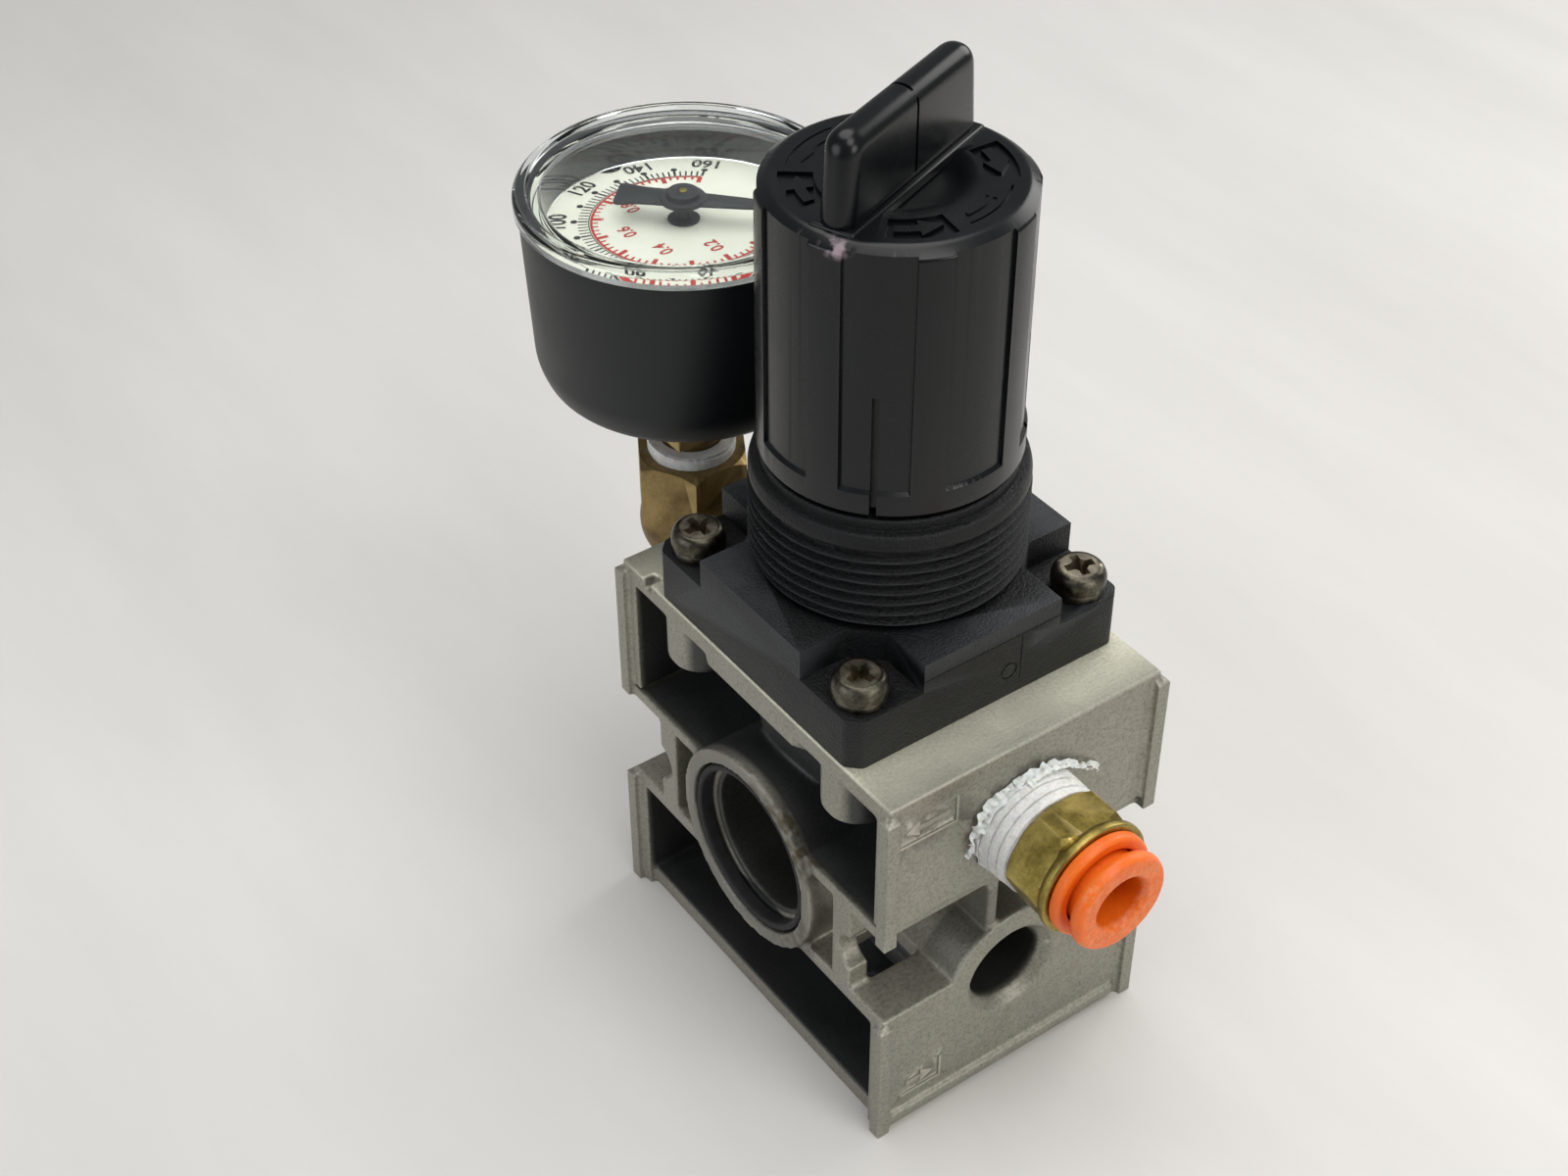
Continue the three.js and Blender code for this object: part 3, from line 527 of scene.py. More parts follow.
def makeClearAcrylic():
    # Moulded acrylic: water-clear, bright rims, a few hairline scratches. Lamps shine through it.
    material, tree, shader, place, out = newMaterial("clearAcrylic")
    shader.inputs["Transmission Weight"].default_value = 1.0
    shader.inputs["IOR"].default_value = 1.49
    shader.inputs["Base Color"].default_value = linearColour("#f3f7f6")
    stretch = addNode(tree, "ShaderNodeMapping", {"Rotation": (0, 0, 0.6), "Scale": (1, 0.06, 1)},
                      {"Vector": place})
    scratch = addNode(tree, "ShaderNodeTexNoise", {"Scale": grainScale(0.25), "Detail": 2.0},
                      {"Vector": stretch.outputs["Vector"]})
    rough = addNode(tree, "ShaderNodeMapRange", {"From Min": 0.62, "From Max": 0.75, "To Min": 0.02,
                    "To Max": 0.16}, {"Value": scratch.outputs["Fac"]})
    tree.links.new(rough.outputs["Result"], shader.inputs["Roughness"])
    clear = addNode(tree, "ShaderNodeBsdfTransparent", {"Color": linearColour("#eef2f1")})
    path = addNode(tree, "ShaderNodeLightPath")
    mix = addNode(tree, "ShaderNodeMixShader", {}, {0: path.outputs["Is Shadow Ray"],
                  1: shader.outputs["BSDF"], 2: clear.outputs["BSDF"]})
    tree.links.new(mix.outputs["Shader"], out.inputs["Surface"])
    return material


def makeTable():
    # Painted table board: pale warm grey with faint streaks.
    material, tree, shader, place, _ = newMaterial("tableBoard")
    stretch = addNode(tree, "ShaderNodeMapping", {"Rotation": (0, 0, 0.9), "Scale": (1, 0.25, 1)},
                      {"Vector": place})
    streaks = addNode(tree, "ShaderNodeTexNoise", {"Scale": grainScale(40), "Detail": 6.0, "Roughness": 0.6},
                      {"Vector": stretch.outputs["Vector"]})
    colours = addNode(tree, "ShaderNodeValToRGB", links={0: streaks.outputs["Fac"]})
    setRamp(colours, [(0.3, "#d3d1ce"), (0.7, "#dddbd8")])
    tree.links.new(colours.outputs["Color"], shader.inputs["Base Color"])
    shader.inputs["Roughness"].default_value = 0.55
    return material


materials = {name: paintedSurface(name, spec) for name, spec in surfaces.items()}
materials["clearAcrylic"] = makeClearAcrylic()
materials["tableBoard"] = makeTable()
makeCamera()
makeLights()
print("stage: camera, lights and", len(materials), "materials")

# body casting
bodySizes = {
    "halfWidth": 20.2, "sealFace": 21.0, "face": 27.4, "rim": 28.2, "plate": 2.5, "bottom": 3.0,
    "lowerTop": 20.8, "lowerWeb": 18.8, "upperBottom": 36.6, "upperWeb": 34.4, "topPlate": 54.0,
    "top": 56.7, "passageZ": 28.35, "passage": 9.5, "ring": 13.7, "portZ": 45.2, "outletZ": 44.4,
    "inletZ": 17.4, "inlet": 5.4, "screw": 16.1, "postInside": 19.2, "shelf": 20.5, "tagProud": 0.2,
    "voxel": 0.3, "faces": 190000,
}
corners = [(-1, -1), (1, -1), (1, 1), (-1, 1)]


def span(sign, a, b):
    return sorted((sign * a, sign * b))


def clippedToWidth(mesh):
    obj = makeObject("clip", mesh)
    half = bodySizes["halfWidth"]
    combine(obj, [box((-half, half), (-30, 30), (-5, 70))], "INTERSECT")
    return takeMesh(obj)


def lowerBlockShapes():
    s = bodySizes
    half, face = s["halfWidth"], s["face"]
    shapes = [
        box((-s["postInside"], s["postInside"]), (-face + 1, face - 1), (0, s["bottom"])),
        box((-half, half), (-s["shelf"], s["shelf"]), (s["lowerWeb"], s["lowerTop"])),
        rod(10.8, 0, s["lowerTop"]),
        box((-1, 1), (10, face - 1), (1, s["lowerTop"] - 1)),
        moved(rod(10, -face, -5, 96), placed(0, 0, s["inletZ"]) @ alongY),
    ]
    for sign in (-1, 1):
        shapes.append(box((-half, half), span(sign, face - s["plate"], face), (0, s["lowerTop"])))
        shapes.append(box((-half, half), span(sign, 18, face - 1), (s["lowerWeb"], s["lowerTop"])))
        shapes.append(box((-19, 18), span(sign, face - 0.5, s["rim"] - 0.05), (0.9, 2.7)))
    return shapes


def upperBlockShapes():
    s = bodySizes
    half, face = s["halfWidth"], s["face"]
    chamber = [(0, 41.2), (15.4, 41.2), (15.4, 52.5), (22, 52.5), (22, 55), (0, 55)]
    shapes = [
        box((-half, half), (-face + 1, face - 1), (s["topPlate"], s["top"])),
        box((-half, half), (-face + 1, face - 1), (s["upperWeb"], 36)),
        rod(12, 30, 44, 96),
        clippedToWidth(turned(chamber, 128)),
        moved(rod(9.4, -face, -8, 96), placed(0, 0, s["outletZ"]) @ alongY),
        moved(rod(8.4, 8, face, 96), placed(0, 0, s["portZ"]) @ alongY),
        box((-4.1, -2.5), (-face + 0.6, -20), (26, 38)),
    ]
    for sign in (-1, 1):
        shapes.append(box((-half, half), span(sign, face - s["plate"], face), (s["upperBottom"], s["top"])))
    for sx, sy in corners:
        boss = turned(softened([(0, 47.2, 0), (4.3, 47.2, 0.8), (4.3, 55, 0), (0, 55, 0)], 0, 4), 64)
        shapes.append(clippedToWidth(moved(boss, placed(sx * s["screw"], sy * s["screw"]))))
    return shapes


def cornerShapes():
    s = bodySizes
    shapes = []
    for sx, sy in corners:
        across = span(sx, s["postInside"], s["sealFace"])
        out = span(sy, 26.4, s["rim"])
        shapes.append(box(across, out, (0, 20)))
        shapes.append(box(across, out, (34.6, 55.3)))
        shapes.append(box(span(sx, 17.3, s["halfWidth"]), span(sy, 17, s["shelf"]), (s["lowerWeb"], 36)))
    return shapes


def bodyCuts():
    s = bodySizes
    end, z = s["sealFace"], s["passageZ"]

    def along(r, x0, x1):
        return moved(rod(r, x0, x1, 128), placed(0, 0, z) @ alongX)

    port = placed(0, 0, s["portZ"]) @ alongY
    outlet = placed(0, 0, s["outletZ"]) @ alongY
    sink = [(0, -40), (6.8, -40), (6.8, -s["face"]), (s["inlet"], -s["face"] + 1.4), (s["inlet"], 0),
            (0, 0)]
    cuts = [
        along(s["passage"], -30, 30), along(10.5, -30, -end + 2.6), along(10.5, end - 2.6, 30),
        along(11.7, -30, -end + 2.3),
        rod(9.5, -1, s["bottom"] + 0.3), rod(8.3, -1, 24), rod(6.2, 24, 39.6), rod(4, 38, 44),
        rod(12.5, 42.8, 60), rod(16.9, 55.6, 60),
        moved(turned(sink, 96), placed(0, 0, s["inletZ"]) @ alongY),
        moved(rod(6.6, -40, -15.5), outlet), moved(rod(4.2, -20, -8), outlet),
        moved(rod(4.9, 20.5, 40), port), moved(rod(3, 8, 22), port),
        box((-21, -18.4), (21.2, 22.6), (55.2, 58)),
    ]
    throughWeb = (s["lowerWeb"] - 1, s["lowerTop"] + 1)
    for sign, inner, ys in ((-1, 9.4, (-20.5, -14.2)), (1, 9.4, (-20.5, -14.2)),
                            (-1, 1.5, (14.2, 20.5)), (1, 1.5, (14.2, 20.5))):
        cuts.append(box(span(sign, inner, 17.3), ys, throughWeb))
    for sx, sy in corners:
        cuts.append(moved(rod(3, *span(sx, 15, 30)), placed(0, sy * 21.2, 27) @ alongX))
        cuts.append(moved(rod(2, 48, 60, 24), placed(sx * s["screw"], sy * s["screw"])))
    return cuts


def portTags():
    # Raised die tags beside the two front ports: a corner border and a plain arrow, out and in.
    face = bodySizes["face"]
    proud, line = bodySizes["tagProud"], 0.35
    tags = []
    for x0, x1, z0, z1, outwards in ((-18.9, -10.4, 50.0, 54.0, True), (-17.2, -10.8, 4.8, 8.6, False)):
        for xs, zs in (((x0, x1), (z0, z0 + line)), ((x1 - line, x1), (z0, z1))):
            tags.append(box(xs, (-face - proud, -face + 0.4), zs))
        middle = (z0 + z1) / 2 + 0.2
        left, right = x0 + 0.9, x1 - 1.3
        tip, tail = (left, right) if outwards else (right, left)
        way = 1 if tail > tip else -1
        neck = tip + way * 2
        arrow = [(tip, middle), (neck, middle + 1.1), (neck, middle + 0.35), (tail, middle + 0.35),
                 (tail, middle - 0.35), (neck, middle - 0.35), (neck, middle - 1.1)]
        flat = prism(arrow, -0.4, proud)
        tags.append(moved(flat, placed(0, -face, 0) @ outOfPage))
    return tags


def makeBody():
    face = bodySizes["sealFace"]
    around = moved(rod(bodySizes["ring"], -face, face, 128), placed(0, 0, bodySizes["passageZ"]) @ alongX)
    shapes = lowerBlockShapes() + upperBlockShapes() + cornerShapes()
    body = combine(makeObject("body_casting", around), shapes, "UNION")
    combine(body, bodyCuts(), "DIFFERENCE")
    combine(body, [ring(4, 4.9, 38.4, 39.8)], "UNION")
    voxelSkin(body, bodySizes["voxel"], 3, bodySizes["faces"])
    combine(body, portTags(), "UNION")
    dress(body, "castAluminium", "housing", "body", None)


makeBody()
print("stage: body")

# valve seen through the supply passage, guide plug and passage seal
valveSizes = {"stem": 1.3, "head": 5.4, "plug": 9.2, "plugPost": 4.6, "keyHole": 1.0}


def makeValve():
    v = valveSizes
    post = v["plugPost"]
    plugProfile = softened([(0, 0, 0), (v["plug"], 0, 0.5), (v["plug"], 3, 0), (8, 3, 0), (8, 7, 0.2),
                            (6.3, 7, 0.1), (6.3, 9.4, 0.1), (8, 9.4, 0.2), (8, 12.6, 0.6), (post, 12.6, 0.6),
                            (post, 26, 0.4), (3, 26, 0.2), (3, 8, 0), (0, 8, 0)], 0)
    plug = makeObject("guide_plug", turned(plugProfile))
    holes = [moved(rod(v["keyHole"], -1, 1.5, 32), placed(x)) for x in (-6.5, 6.5)]
    marks = [ring(3.6, 4.2, -1, 0.35), box((-0.5, 0.5), (-3.2, 3.2), (-1, 0.3))]
    combine(plug, holes + marks, "DIFFERENCE")
    dress(plug, "glassFilledNylon", "housing", "valve_guide_plug")
    stemProfile = softened([(0, 17, 0), (v["stem"], 17, 0.2), (v["stem"], 22, 0), (2.7, 22, 0.2),
                            (2.7, 29.6, 0.3), (v["head"], 30.4, 0.3), (v["head"], 36.4, 0.3),
                            (1.4, 36.4, 0), (1.4, 54.1, 0.4), (0, 54.1, 0)], 0)
    makePiece("valve_poppet", turned(stemProfile), "agedBrass", "valve", "valve_stem")
    washer = turned(softened([(1.7, 36.45), (5.3, 36.45), (5.3, 38.2), (1.7, 38.2)], 0.3))
    makePiece("valve_washer", washer, "dustyNitrile", "valve", "valve_rubber")
    end = -bodySizes["sealFace"]
    seal = turned(softened([(10.5, 0.25), (11.45, 0.25), (11.45, 2.2), (10.5, 2.2)], 0.42, 5), 160)
    seal = moved(seal, placed(end, 0, bodySizes["passageZ"]) @ alongX)
    makePiece("passage_face_seal", seal, "dustyNitrile", "housing", "passage_seal", 60)


makeValve()
print("stage: valve, plug and passage seal")

# bonnet
bonnetSizes = {
    "half": 20.0, "corner": 1.6, "low": 56.75, "high": 67.9, "ledge": 63.8, "major": 16.5, "minor": 15.55,
    "pitch": 1.5, "threadLow": 68.4, "threadHigh": 79.3, "tower": 12.8, "edge": 0.45,
}


def threadShape(angle, r, z):  # a 60 degree thread, fading out at both ends
    b = bonnetSizes
    if r < b["minor"] - 0.01 or z < b["threadLow"] or z > b["threadHigh"]:
        return r, z
    phase = ((z - 69.5) / b["pitch"] - angle / (2 * math.pi)) % 1.0
    rise = min(1.0, max(0.0, (abs(phase - 0.5) * 2 - 0.24) / 0.7))
    fade = min(1.0, (z - b["threadLow"]) / 0.6, (b["threadHigh"] - z) / 0.6)
    return b["minor"] + (b["major"] - b["minor"]) * (rise * fade), z


def makeBonnetSleeve():
    b = bonnetSizes
    steps = int((b["threadHigh"] - b["threadLow"]) / 0.09)
    climb = [(b["minor"], b["threadLow"] + (b["threadHigh"] - b["threadLow"]) * i / steps)
             for i in range(steps + 1)]
    outside = [(15.2, 66.5), (15.2, 68.0)] + climb
    outside += softened([(16.4, 79.6, 0.2), (16.4, 80.3, 0.2), (16.1, 81.4, 0.35), (15.1, 81.5, 0.1),
                         (15.1, 82.9, 0.4), (b["tower"], 82.9, 0), (b["tower"], 88, 0.1), (12, 88, 0),
                         (12, 89.6, 0), (b["tower"], 89.6, 0.1), (b["tower"], 100, 0.5), (3.3, 100, 0.2),
                         (3.3, 97.6, 0), (11, 97.6, 0.3), (11, 66.5, 0)], 0, 3, False)
    return turned(outside, 144, threadShape)


def makeBonnetFlange():
    b = bonnetSizes
    h, c = b["half"], b["corner"]
    outline = softened([(-h + c, -h), (h - c, -h), (h, -h + c), (h, h - c), (h - c, h), (-h + c, h),
                        (-h, h - c), (-h, -h + c)], 0.5)
    flange = makeObject("flange", prism(outline, b["low"], b["high"]))
    cuts = [turned([(0, 50), (14.2, 50), (14.2, 59.6), (11, 62), (11, 70), (0, 70)], 96)]
    for sx, sy in corners:
        far = h + 1
        pocket = [(13.5, 10), (far, 10), (far, far), (10, far), (10, 13.2)]
        pocket = [(sx * x, sy * y) for x, y in pocket]
        cuts.append(prism(pocket if sx * sy > 0 else pocket[::-1], b["ledge"], b["high"] + 1))
        cuts.append(moved(rod(2.1, 50, 70, 48), placed(sx * bodySizes["screw"], sy * bodySizes["screw"])))
    combine(flange, cuts, "DIFFERENCE")
    bevelEdges(flange, b["edge"], 3, 40)
    # moulding marks on the front: a sunk gate ring and a parting line beside it
    gate = moved(ring(0.95, 1.2, -0.1, 0.08, 48), placed(2.6, -h, 60.6) @ alongY)
    lines = [box(xs, (-h - 0.1, -h + 0.06), zs)
             for xs, zs in (((-19, 19), (65.35, 65.5)), ((4.25, 4.4), (58.5, 65.3)))]
    combine(flange, [gate] + lines, "DIFFERENCE")
    return takeMesh(flange)


def makeBonnet():
    bonnet = makeObject("threaded_bonnet", makeBonnetFlange())
    keys = [box(span(s, 9.6, 11.5), (-1.3, 1.3), (64, 97.8)) for s in (-1, 1)]
    combine(bonnet, [makeBonnetSleeve()] + keys, "UNION")
    dress(bonnet, "glassFilledNylon", "housing", "bonnet", 40)


makeBonnet()
print("stage: bonnet")

# bonnet screws and split washers
screwSizes = {
    "head": 3.35, "shank": 1.7, "low": 48.6, "seat": 64.9, "top": 67.4, "slot": 1.05,
    "turns": (14, 75, 48, 5), "washerLow": 63.85, "washerHigh": 64.85,
}


def makeBonnetScrews():
    s = screwSizes
    low, seat, top = s["low"], s["seat"], s["top"]
    outline = [(0, low, 0), (1.4, low, 0.2), (s["shank"], low + 0.6, 0), (s["shank"], seat, 0),
               (s["head"], seat, 0.18), (s["head"], 66.3, 0.8), (2.75, top - 0.1, 0.9), (0, top, 0)]
    arm = [(-1.95, top + 0.4), (1.95, top + 0.4), (1.2, 65.1), (-1.2, 65.1)]  # one arm of the cross slot
    for i, (sx, sy) in enumerate(corners):
        x, y = sx * bodySizes["screw"], sy * bodySizes["screw"]
        head = makeObject("bonnet_screw_head_%d" % (i + 1), turned(softened(outline, 0, 6), 96))
        cross = []
        for turn in (0, 90):
            flat = prism(arm, -s["slot"] / 2, s["slot"] / 2)
            cross.append(moved(flat, placed(0, 0, 0, (turn, "Z")) @ outOfPage))
        cross.append(turned([(0, 65.0), (0.6, 65.2), (1.15, top + 0.4), (0, top + 0.4)], 24))
        combine(head, cross, "DIFFERENCE")
        bevelEdges(head, 0.06, 2, 45)
        head.data.transform(placed(x, y, 0, (s["turns"][i], "Z")))
        dress(head, "wornNickel", "housing", "bonnet_screw_%d" % (i + 1), 40)
        washer = softened([(1.95, s["washerLow"]), (3.2, s["washerLow"]), (3.2, s["washerHigh"]),
                           (1.95, s["washerHigh"])], 0.12)
        split = makeObject("split_washer_%d" % (i + 1), turned(washer, 96))
        combine(split, [box((-0.3, 0.3), (0, 4), (60, 66))], "DIFFERENCE")
        split.data.transform(placed(x, y))
        dress(split, "wornNickel", "housing", "spring_washer_%d" % (i + 1))


makeBonnetScrews()
print("stage: bonnet screws")

# knob with its wing
knobSizes = {
    "low": 83.7, "high": 117.5, "r": 15.4, "panelDepth": 0.4, "panelLow": 86.5, "panelHalf": 15.0,
    "wingAngle": 21.5, "wingFoot": 13.8, "wingHead": 12.4, "wingHalf": 2.05, "wingTop": 128.0,
    "wingRound": 1.9, "wingSlot": 0.22, "dish": 8.0, "dishDepth": 0.9,
}


def sector(r0, r1, start, end, z0, z1, steps=24):  # part of a ring between two angles in degrees
    return prism(arcPoints(0, 0, r1, start, end, steps) + arcPoints(0, 0, r0, end, start, steps), z0, z1)


def curvedArrow(r0, r1, start, end, z0, z1):  # an arc with a head at its far end
    middle, wide = (r0 + r1) / 2, (r1 - r0) * 1.25
    way = 1 if end > start else -1
    a, b = math.radians(end), math.radians(end + way * 14)
    head = [(r * math.cos(angle), r * math.sin(angle))
            for r, angle in ((middle - wide, a), (middle + wide, a), (middle, b))]
    return [sector(r0, r1, min(start, end), max(start, end), z0, z1),
            prism(head if way > 0 else head[::-1], z0, z1)]


def makeWing():
    k = knobSizes
    foot, head, top, slot = k["wingFoot"], k["wingHead"], k["wingTop"], k["wingSlot"]
    side = [(-foot, k["high"] - 0.8, 0), (foot, k["high"] - 0.8, 0), (head + 0.35, top, 2.6),
            (-head - 0.35, top, 2.6)]
    flat = prism(softened(side, 0, 8), -k["wingHalf"], k["wingHalf"])
    wing = makeObject("wing", moved(flat, outOfPage))
    bevelEdges(wing, k["wingRound"], 8, 50)
    slots = [box((-slot, slot), ys, (low, 130))
             for ys, low in (((-5, -1.75), 118.4), ((1.75, 5), 118.4), ((-5, 5), 127.6))]
    combine(wing, slots, "DIFFERENCE")
    strip = makeObject("foot", box((-13.6, 13.6), (-2.75, 2.75), (k["high"] - 0.9, k["high"] + 0.35)))
    bevelEdges(strip, 0.3, 3, 50)
    return [moved(takeMesh(part), placed(0, 0, 0, (k["wingAngle"], "Z"))) for part in (wing, strip)]


def makeKnob():
    k = knobSizes
    low, high, r = k["low"], k["high"], k["r"]
    shell = softened([(0, low, 0), (r, low, 0.25), (r, high - 1.05, 0.35), (r - 1.5, high, 0.45),
                      (0, high, 0)], 0, 4, False)
    knob = makeObject("adjusting_knob", turned(shell, 240))
    cuts = [turned([(0, 80), (13.6, 80), (13.4, 114.5), (0, 114.5)], 96)]
    inner, slope = r - k["panelDepth"], k["panelLow"] + 0.45
    for panel in range(8):
        start, end = panel * 45 - k["panelHalf"], panel * 45 + k["panelHalf"]
        cuts.append(sector(inner, r + 2, start, end, slope - 0.01, high + 5, 32))
        wedge = sector(inner, r + 2, start, end, k["panelLow"], slope, 32)
        for corner in wedge.vertices:  # the panel's foot runs out to the rim
            if corner.co.z < (slope - 0.1) * mm and corner.co.xy.length < (r + 1) * mm:
                corner.co.xy *= (r + 0.02) / inner
        cuts.append(wedge)
    combine(knob, cuts, "DIFFERENCE")
    bevelEdges(knob, 0.24, 3, 32)
    d, edge = high - k["dishDepth"], k["dish"] + 0.6
    dish = turned(softened([(0, d, 0), (k["dish"] - 2.4, d, 1.2), (edge, high + 0.15, 0),
                            (edge, high + 1, 0), (0, high + 1, 0)], 0, 6, False), 128)
    arcs, raised = [], []
    for side in (0, 180):
        a = k["wingAngle"] + side
        arcs.append(sector(9.0, 12.8, a + 24, a + 60, high - 0.42, high + 1))
        arcs.append(sector(9.0, 12.8, a + 120, a + 156, high - 0.42, high + 1))
        arcs.append(sector(11.9, 12.15, a + 68, a + 112, high - 0.3, high + 1))
        raised += curvedArrow(10.3, 10.8, a + 72, a + 96, high - 0.4, high + 0.16)
        raised += curvedArrow(10.2, 11.4, a + 28, a + 42, high - 0.6, high - 0.02)
        raised += curvedArrow(10.2, 11.4, a + 152, a + 138, high - 0.6, high - 0.02)
    marks = [moved(box((r - 1.6, r + 1), (-0.4, 0.4), (80, 99.2)), placed(0, 0, 0, (mark * 90 + 45, "Z")))
             for mark in range(4)]
    combine(knob, [dish] + arcs + marks, "DIFFERENCE")
    hub = combine(makeObject("hub", rod(5.6, 103, 115, 64)), [flatsPrism(6, 5.8, 100, 114.2)], "DIFFERENCE")
    combine(knob, makeWing() + [takeMesh(hub)] + raised, "UNION")
    dress(knob, "mouldedAcetal", "knob", "knob", 32)


makeKnob()
print("stage: knob")

# gauge: elbow, stem, case and lens
gaugeSizes = {"y": 42.0, "dialTop": 90.05, "dial": 18.6, "branch": 6.6, "ball": 7.3, "hex": 14.0}


def makeElbow():
    g = gaugeSizes
    z, y = bodySizes["portZ"], g["y"]
    branch = turned(softened([(0, 29.2, 0), (g["branch"], 29.2, 0.5), (g["branch"], y, 0), (0, y, 0)],
                             0, 4, False))
    bm = bmesh.new()
    bmesh.ops.create_uvsphere(bm, u_segments=64, v_segments=40, radius=g["ball"] * mm)
    ball = moved(meshFrom(bm), placed(0, y, z))
    stub = moved(rod(4.6, 21.2, 30, 64), placed(0, 0, z) @ alongY)
    neck = moved(turned([(0, 45), (6.9, 45), (6.6, 48), (0, 48)]), placed(0, y))
    elbow = makeObject("gauge_elbow_casting", moved(branch, placed(0, 0, z) @ alongY))
    combine(elbow, [ball, stub, neck], "UNION")
    voxelSkin(elbow, 0.25, 4, 90000)
    nut = makeObject("nut", moved(flatsPrism(6, g["hex"], 46.5, 56.8), placed(0, y)))
    cone = turned([(0, 40), (7.6, 46.5), (8.4, 47.4), (8.4, 55.7), (7.2, 56.8), (0, 56.8)], 240)
    combine(nut, [moved(cone, placed(0, y))], "INTERSECT")
    combine(elbow, [takeMesh(nut)], "UNION")
    bores = [moved(rod(2.5, 20, y, 48), placed(0, 0, z) @ alongY),
             moved(rod(2.5, z - 2.4, 58, 48), placed(0, y)), moved(rod(4.5, 49.6, 58, 64), placed(0, y))]
    combine(elbow, bores, "DIFFERENCE")
    dress(elbow, "brownBrass", "housing", "gauge_elbow", 38)


def makeGaugeStem():
    y = gaugeSizes["y"]
    profile = softened([(0, 50, 0), (4.15, 50, 0.3), (4.15, 59.2, 0), (5, 60.2, 0.2), (5, 69.4, 0),
                        (4.6, 69.45, 0), (4.6, 74, 0), (0, 74, 0)], 0, 3, False)
    stem = makeObject("gauge_stem", moved(turned(profile), placed(0, y)))
    flats = makeObject("flats", moved(flatsPrism(4, 11, 61, 68.6, 45), placed(0, y)))
    bevelEdges(flats, 0.35, 3, 40)
    inner = [box((-4, 4), (y - 8, y + 4), (71.6, 77.5)), box((-3, 3), (y - 14, y - 6), (74, 84)),
             box((-3, 3), (y - 8, y + 3), (76, 84))]
    combine(stem, [takeMesh(flats)] + inner, "UNION")
    combine(stem, [moved(rod(1.2, 49, 76, 32), placed(0, y))], "DIFFERENCE")
    dress(stem, "brownBrass", "housing", "gauge_socket")


def makeGaugeCase():
    y, dial = gaugeSizes["y"], gaugeSizes["dial"]
    outer = softened([(5, 69.1, 0), (15.6, 69.1, 0.8), (18.3, 70.6, 1.2), (19.4, 73.6, 1.2), (20.1, 90, 1.0),
                      (20.3, 94.2, 0.15), (18.9, 94.2, 0.1), (18.9, 89.2, 0), (17.6, 89.2, 0),
                      (17.6, 74, 0.6), (15, 71.2, 0.4), (5, 71.2, 0)], 0, 5)
    makePiece("gauge_cup", moved(turned(outer, 192), placed(0, y)), "satinEnamel", "housing",
              "gauge_case", 30)
    lens = softened([(0, 95.2, 0), (17.7, 95.2, 0.3), (17.7, 90.1, 0.2), (dial, 90.1, 0.2), (dial, 94.25, 0),
                     (20.8, 94.25, 0.2), (20.8, 95.9, 0.25), (20.2, 96.5, 0.3), (19.25, 96.5, 0.25),
                     (18.9, 96.1, 0.15), (0, 96.1, 0)], 0, 4, False)
    makePiece("gauge_lens_cover", moved(turned(lens, 192), placed(0, y)), "clearAcrylic", "housing",
              "gauge_lens", 30)


makeElbow()
makeGaugeStem()
makeGaugeCase()
print("stage: gauge elbow, stem, case and lens")

# dial and pointer; angles in degrees from +X
dialSizes = {
    "zero": 315.0, "degreesPerPsi": 1.6875, "psiPerMpa": 145.04, "full": 160, "ink": 0.03,
    "blackTicks": (12.2, 13.6), "dotAt": 14.1, "numberAt": 15.8, "numberHeight": 2.3,
    "redRing": 12.0, "redMinor": 11.0, "redMajor": 10.3, "redNumberAt": 7.4, "redNumberHeight": 1.75,
}


def dialPoint(r, degrees):
    a = math.radians(degrees)
    return Vector((r * math.cos(a), r * math.sin(a), 0)) * mm


def inkPatch(bm, spots):
    z = (gaugeSizes["dialTop"] + dialSizes["ink"]) * mm
    bm.faces.new([bm.verts.new((p.x, p.y, z)) for p in spots])


def inkStroke(bm, degrees, r0, r1, width):
    side = dialPoint(width / 2, degrees + 90)
    inkPatch(bm, [dialPoint(r0, degrees) - side, dialPoint(r1, degrees) - side,
                  dialPoint(r1, degrees) + side, dialPoint(r0, degrees) + side])


def inkDot(bm, degrees, r, size):
    centre = dialPoint(r, degrees)
    inkPatch(bm, [centre + dialPoint(size, i * 22.5) for i in range(16)])


def inkArc(bm, r, width, start, end):
    z = (gaugeSizes["dialTop"] + dialSizes["ink"] * 0.8) * mm
    count = 160
    rows = []
    for i in range(count + 1):
        a = start + (end - start) * i / count
        inner, outer = dialPoint(r - width / 2, a), dialPoint(r + width / 2, a)
        rows.append((bm.verts.new((inner.x, inner.y, z)), bm.verts.new((outer.x, outer.y, z))))
    for (a, b), (c, d) in zip(rows, rows[1:]):
        bm.faces.new((a, b, d, c))


def inkNumber(bm, text, degrees, r, height, turn):
    curve = bpy.data.curves.new("number", "FONT")
    curve.body = text
    curve.size = height * mm / 0.7
    curve.align_x = curve.align_y = "CENTER"
    curve.resolution_u = 5
    curve.offset = 0.000035 * height
    holder = makeObject("number", curve)
    bpy.context.view_layer.update()
    mesh = bpy.data.meshes.new_from_object(holder.evaluated_get(bpy.context.evaluated_depsgraph_get()))
    bpy.data.objects.remove(holder)
    centre = dialPoint(r, degrees)
    lift = (gaugeSizes["dialTop"] + dialSizes["ink"]) * mm
    place = Matrix.Translation((centre.x, centre.y, lift)) @ Matrix.Rotation(math.radians(turn), 4, "Z")
    mesh.transform(place @ Matrix.Diagonal((0.86, 1, 1, 1)))  # slightly narrow figures
    bm.from_mesh(mesh)


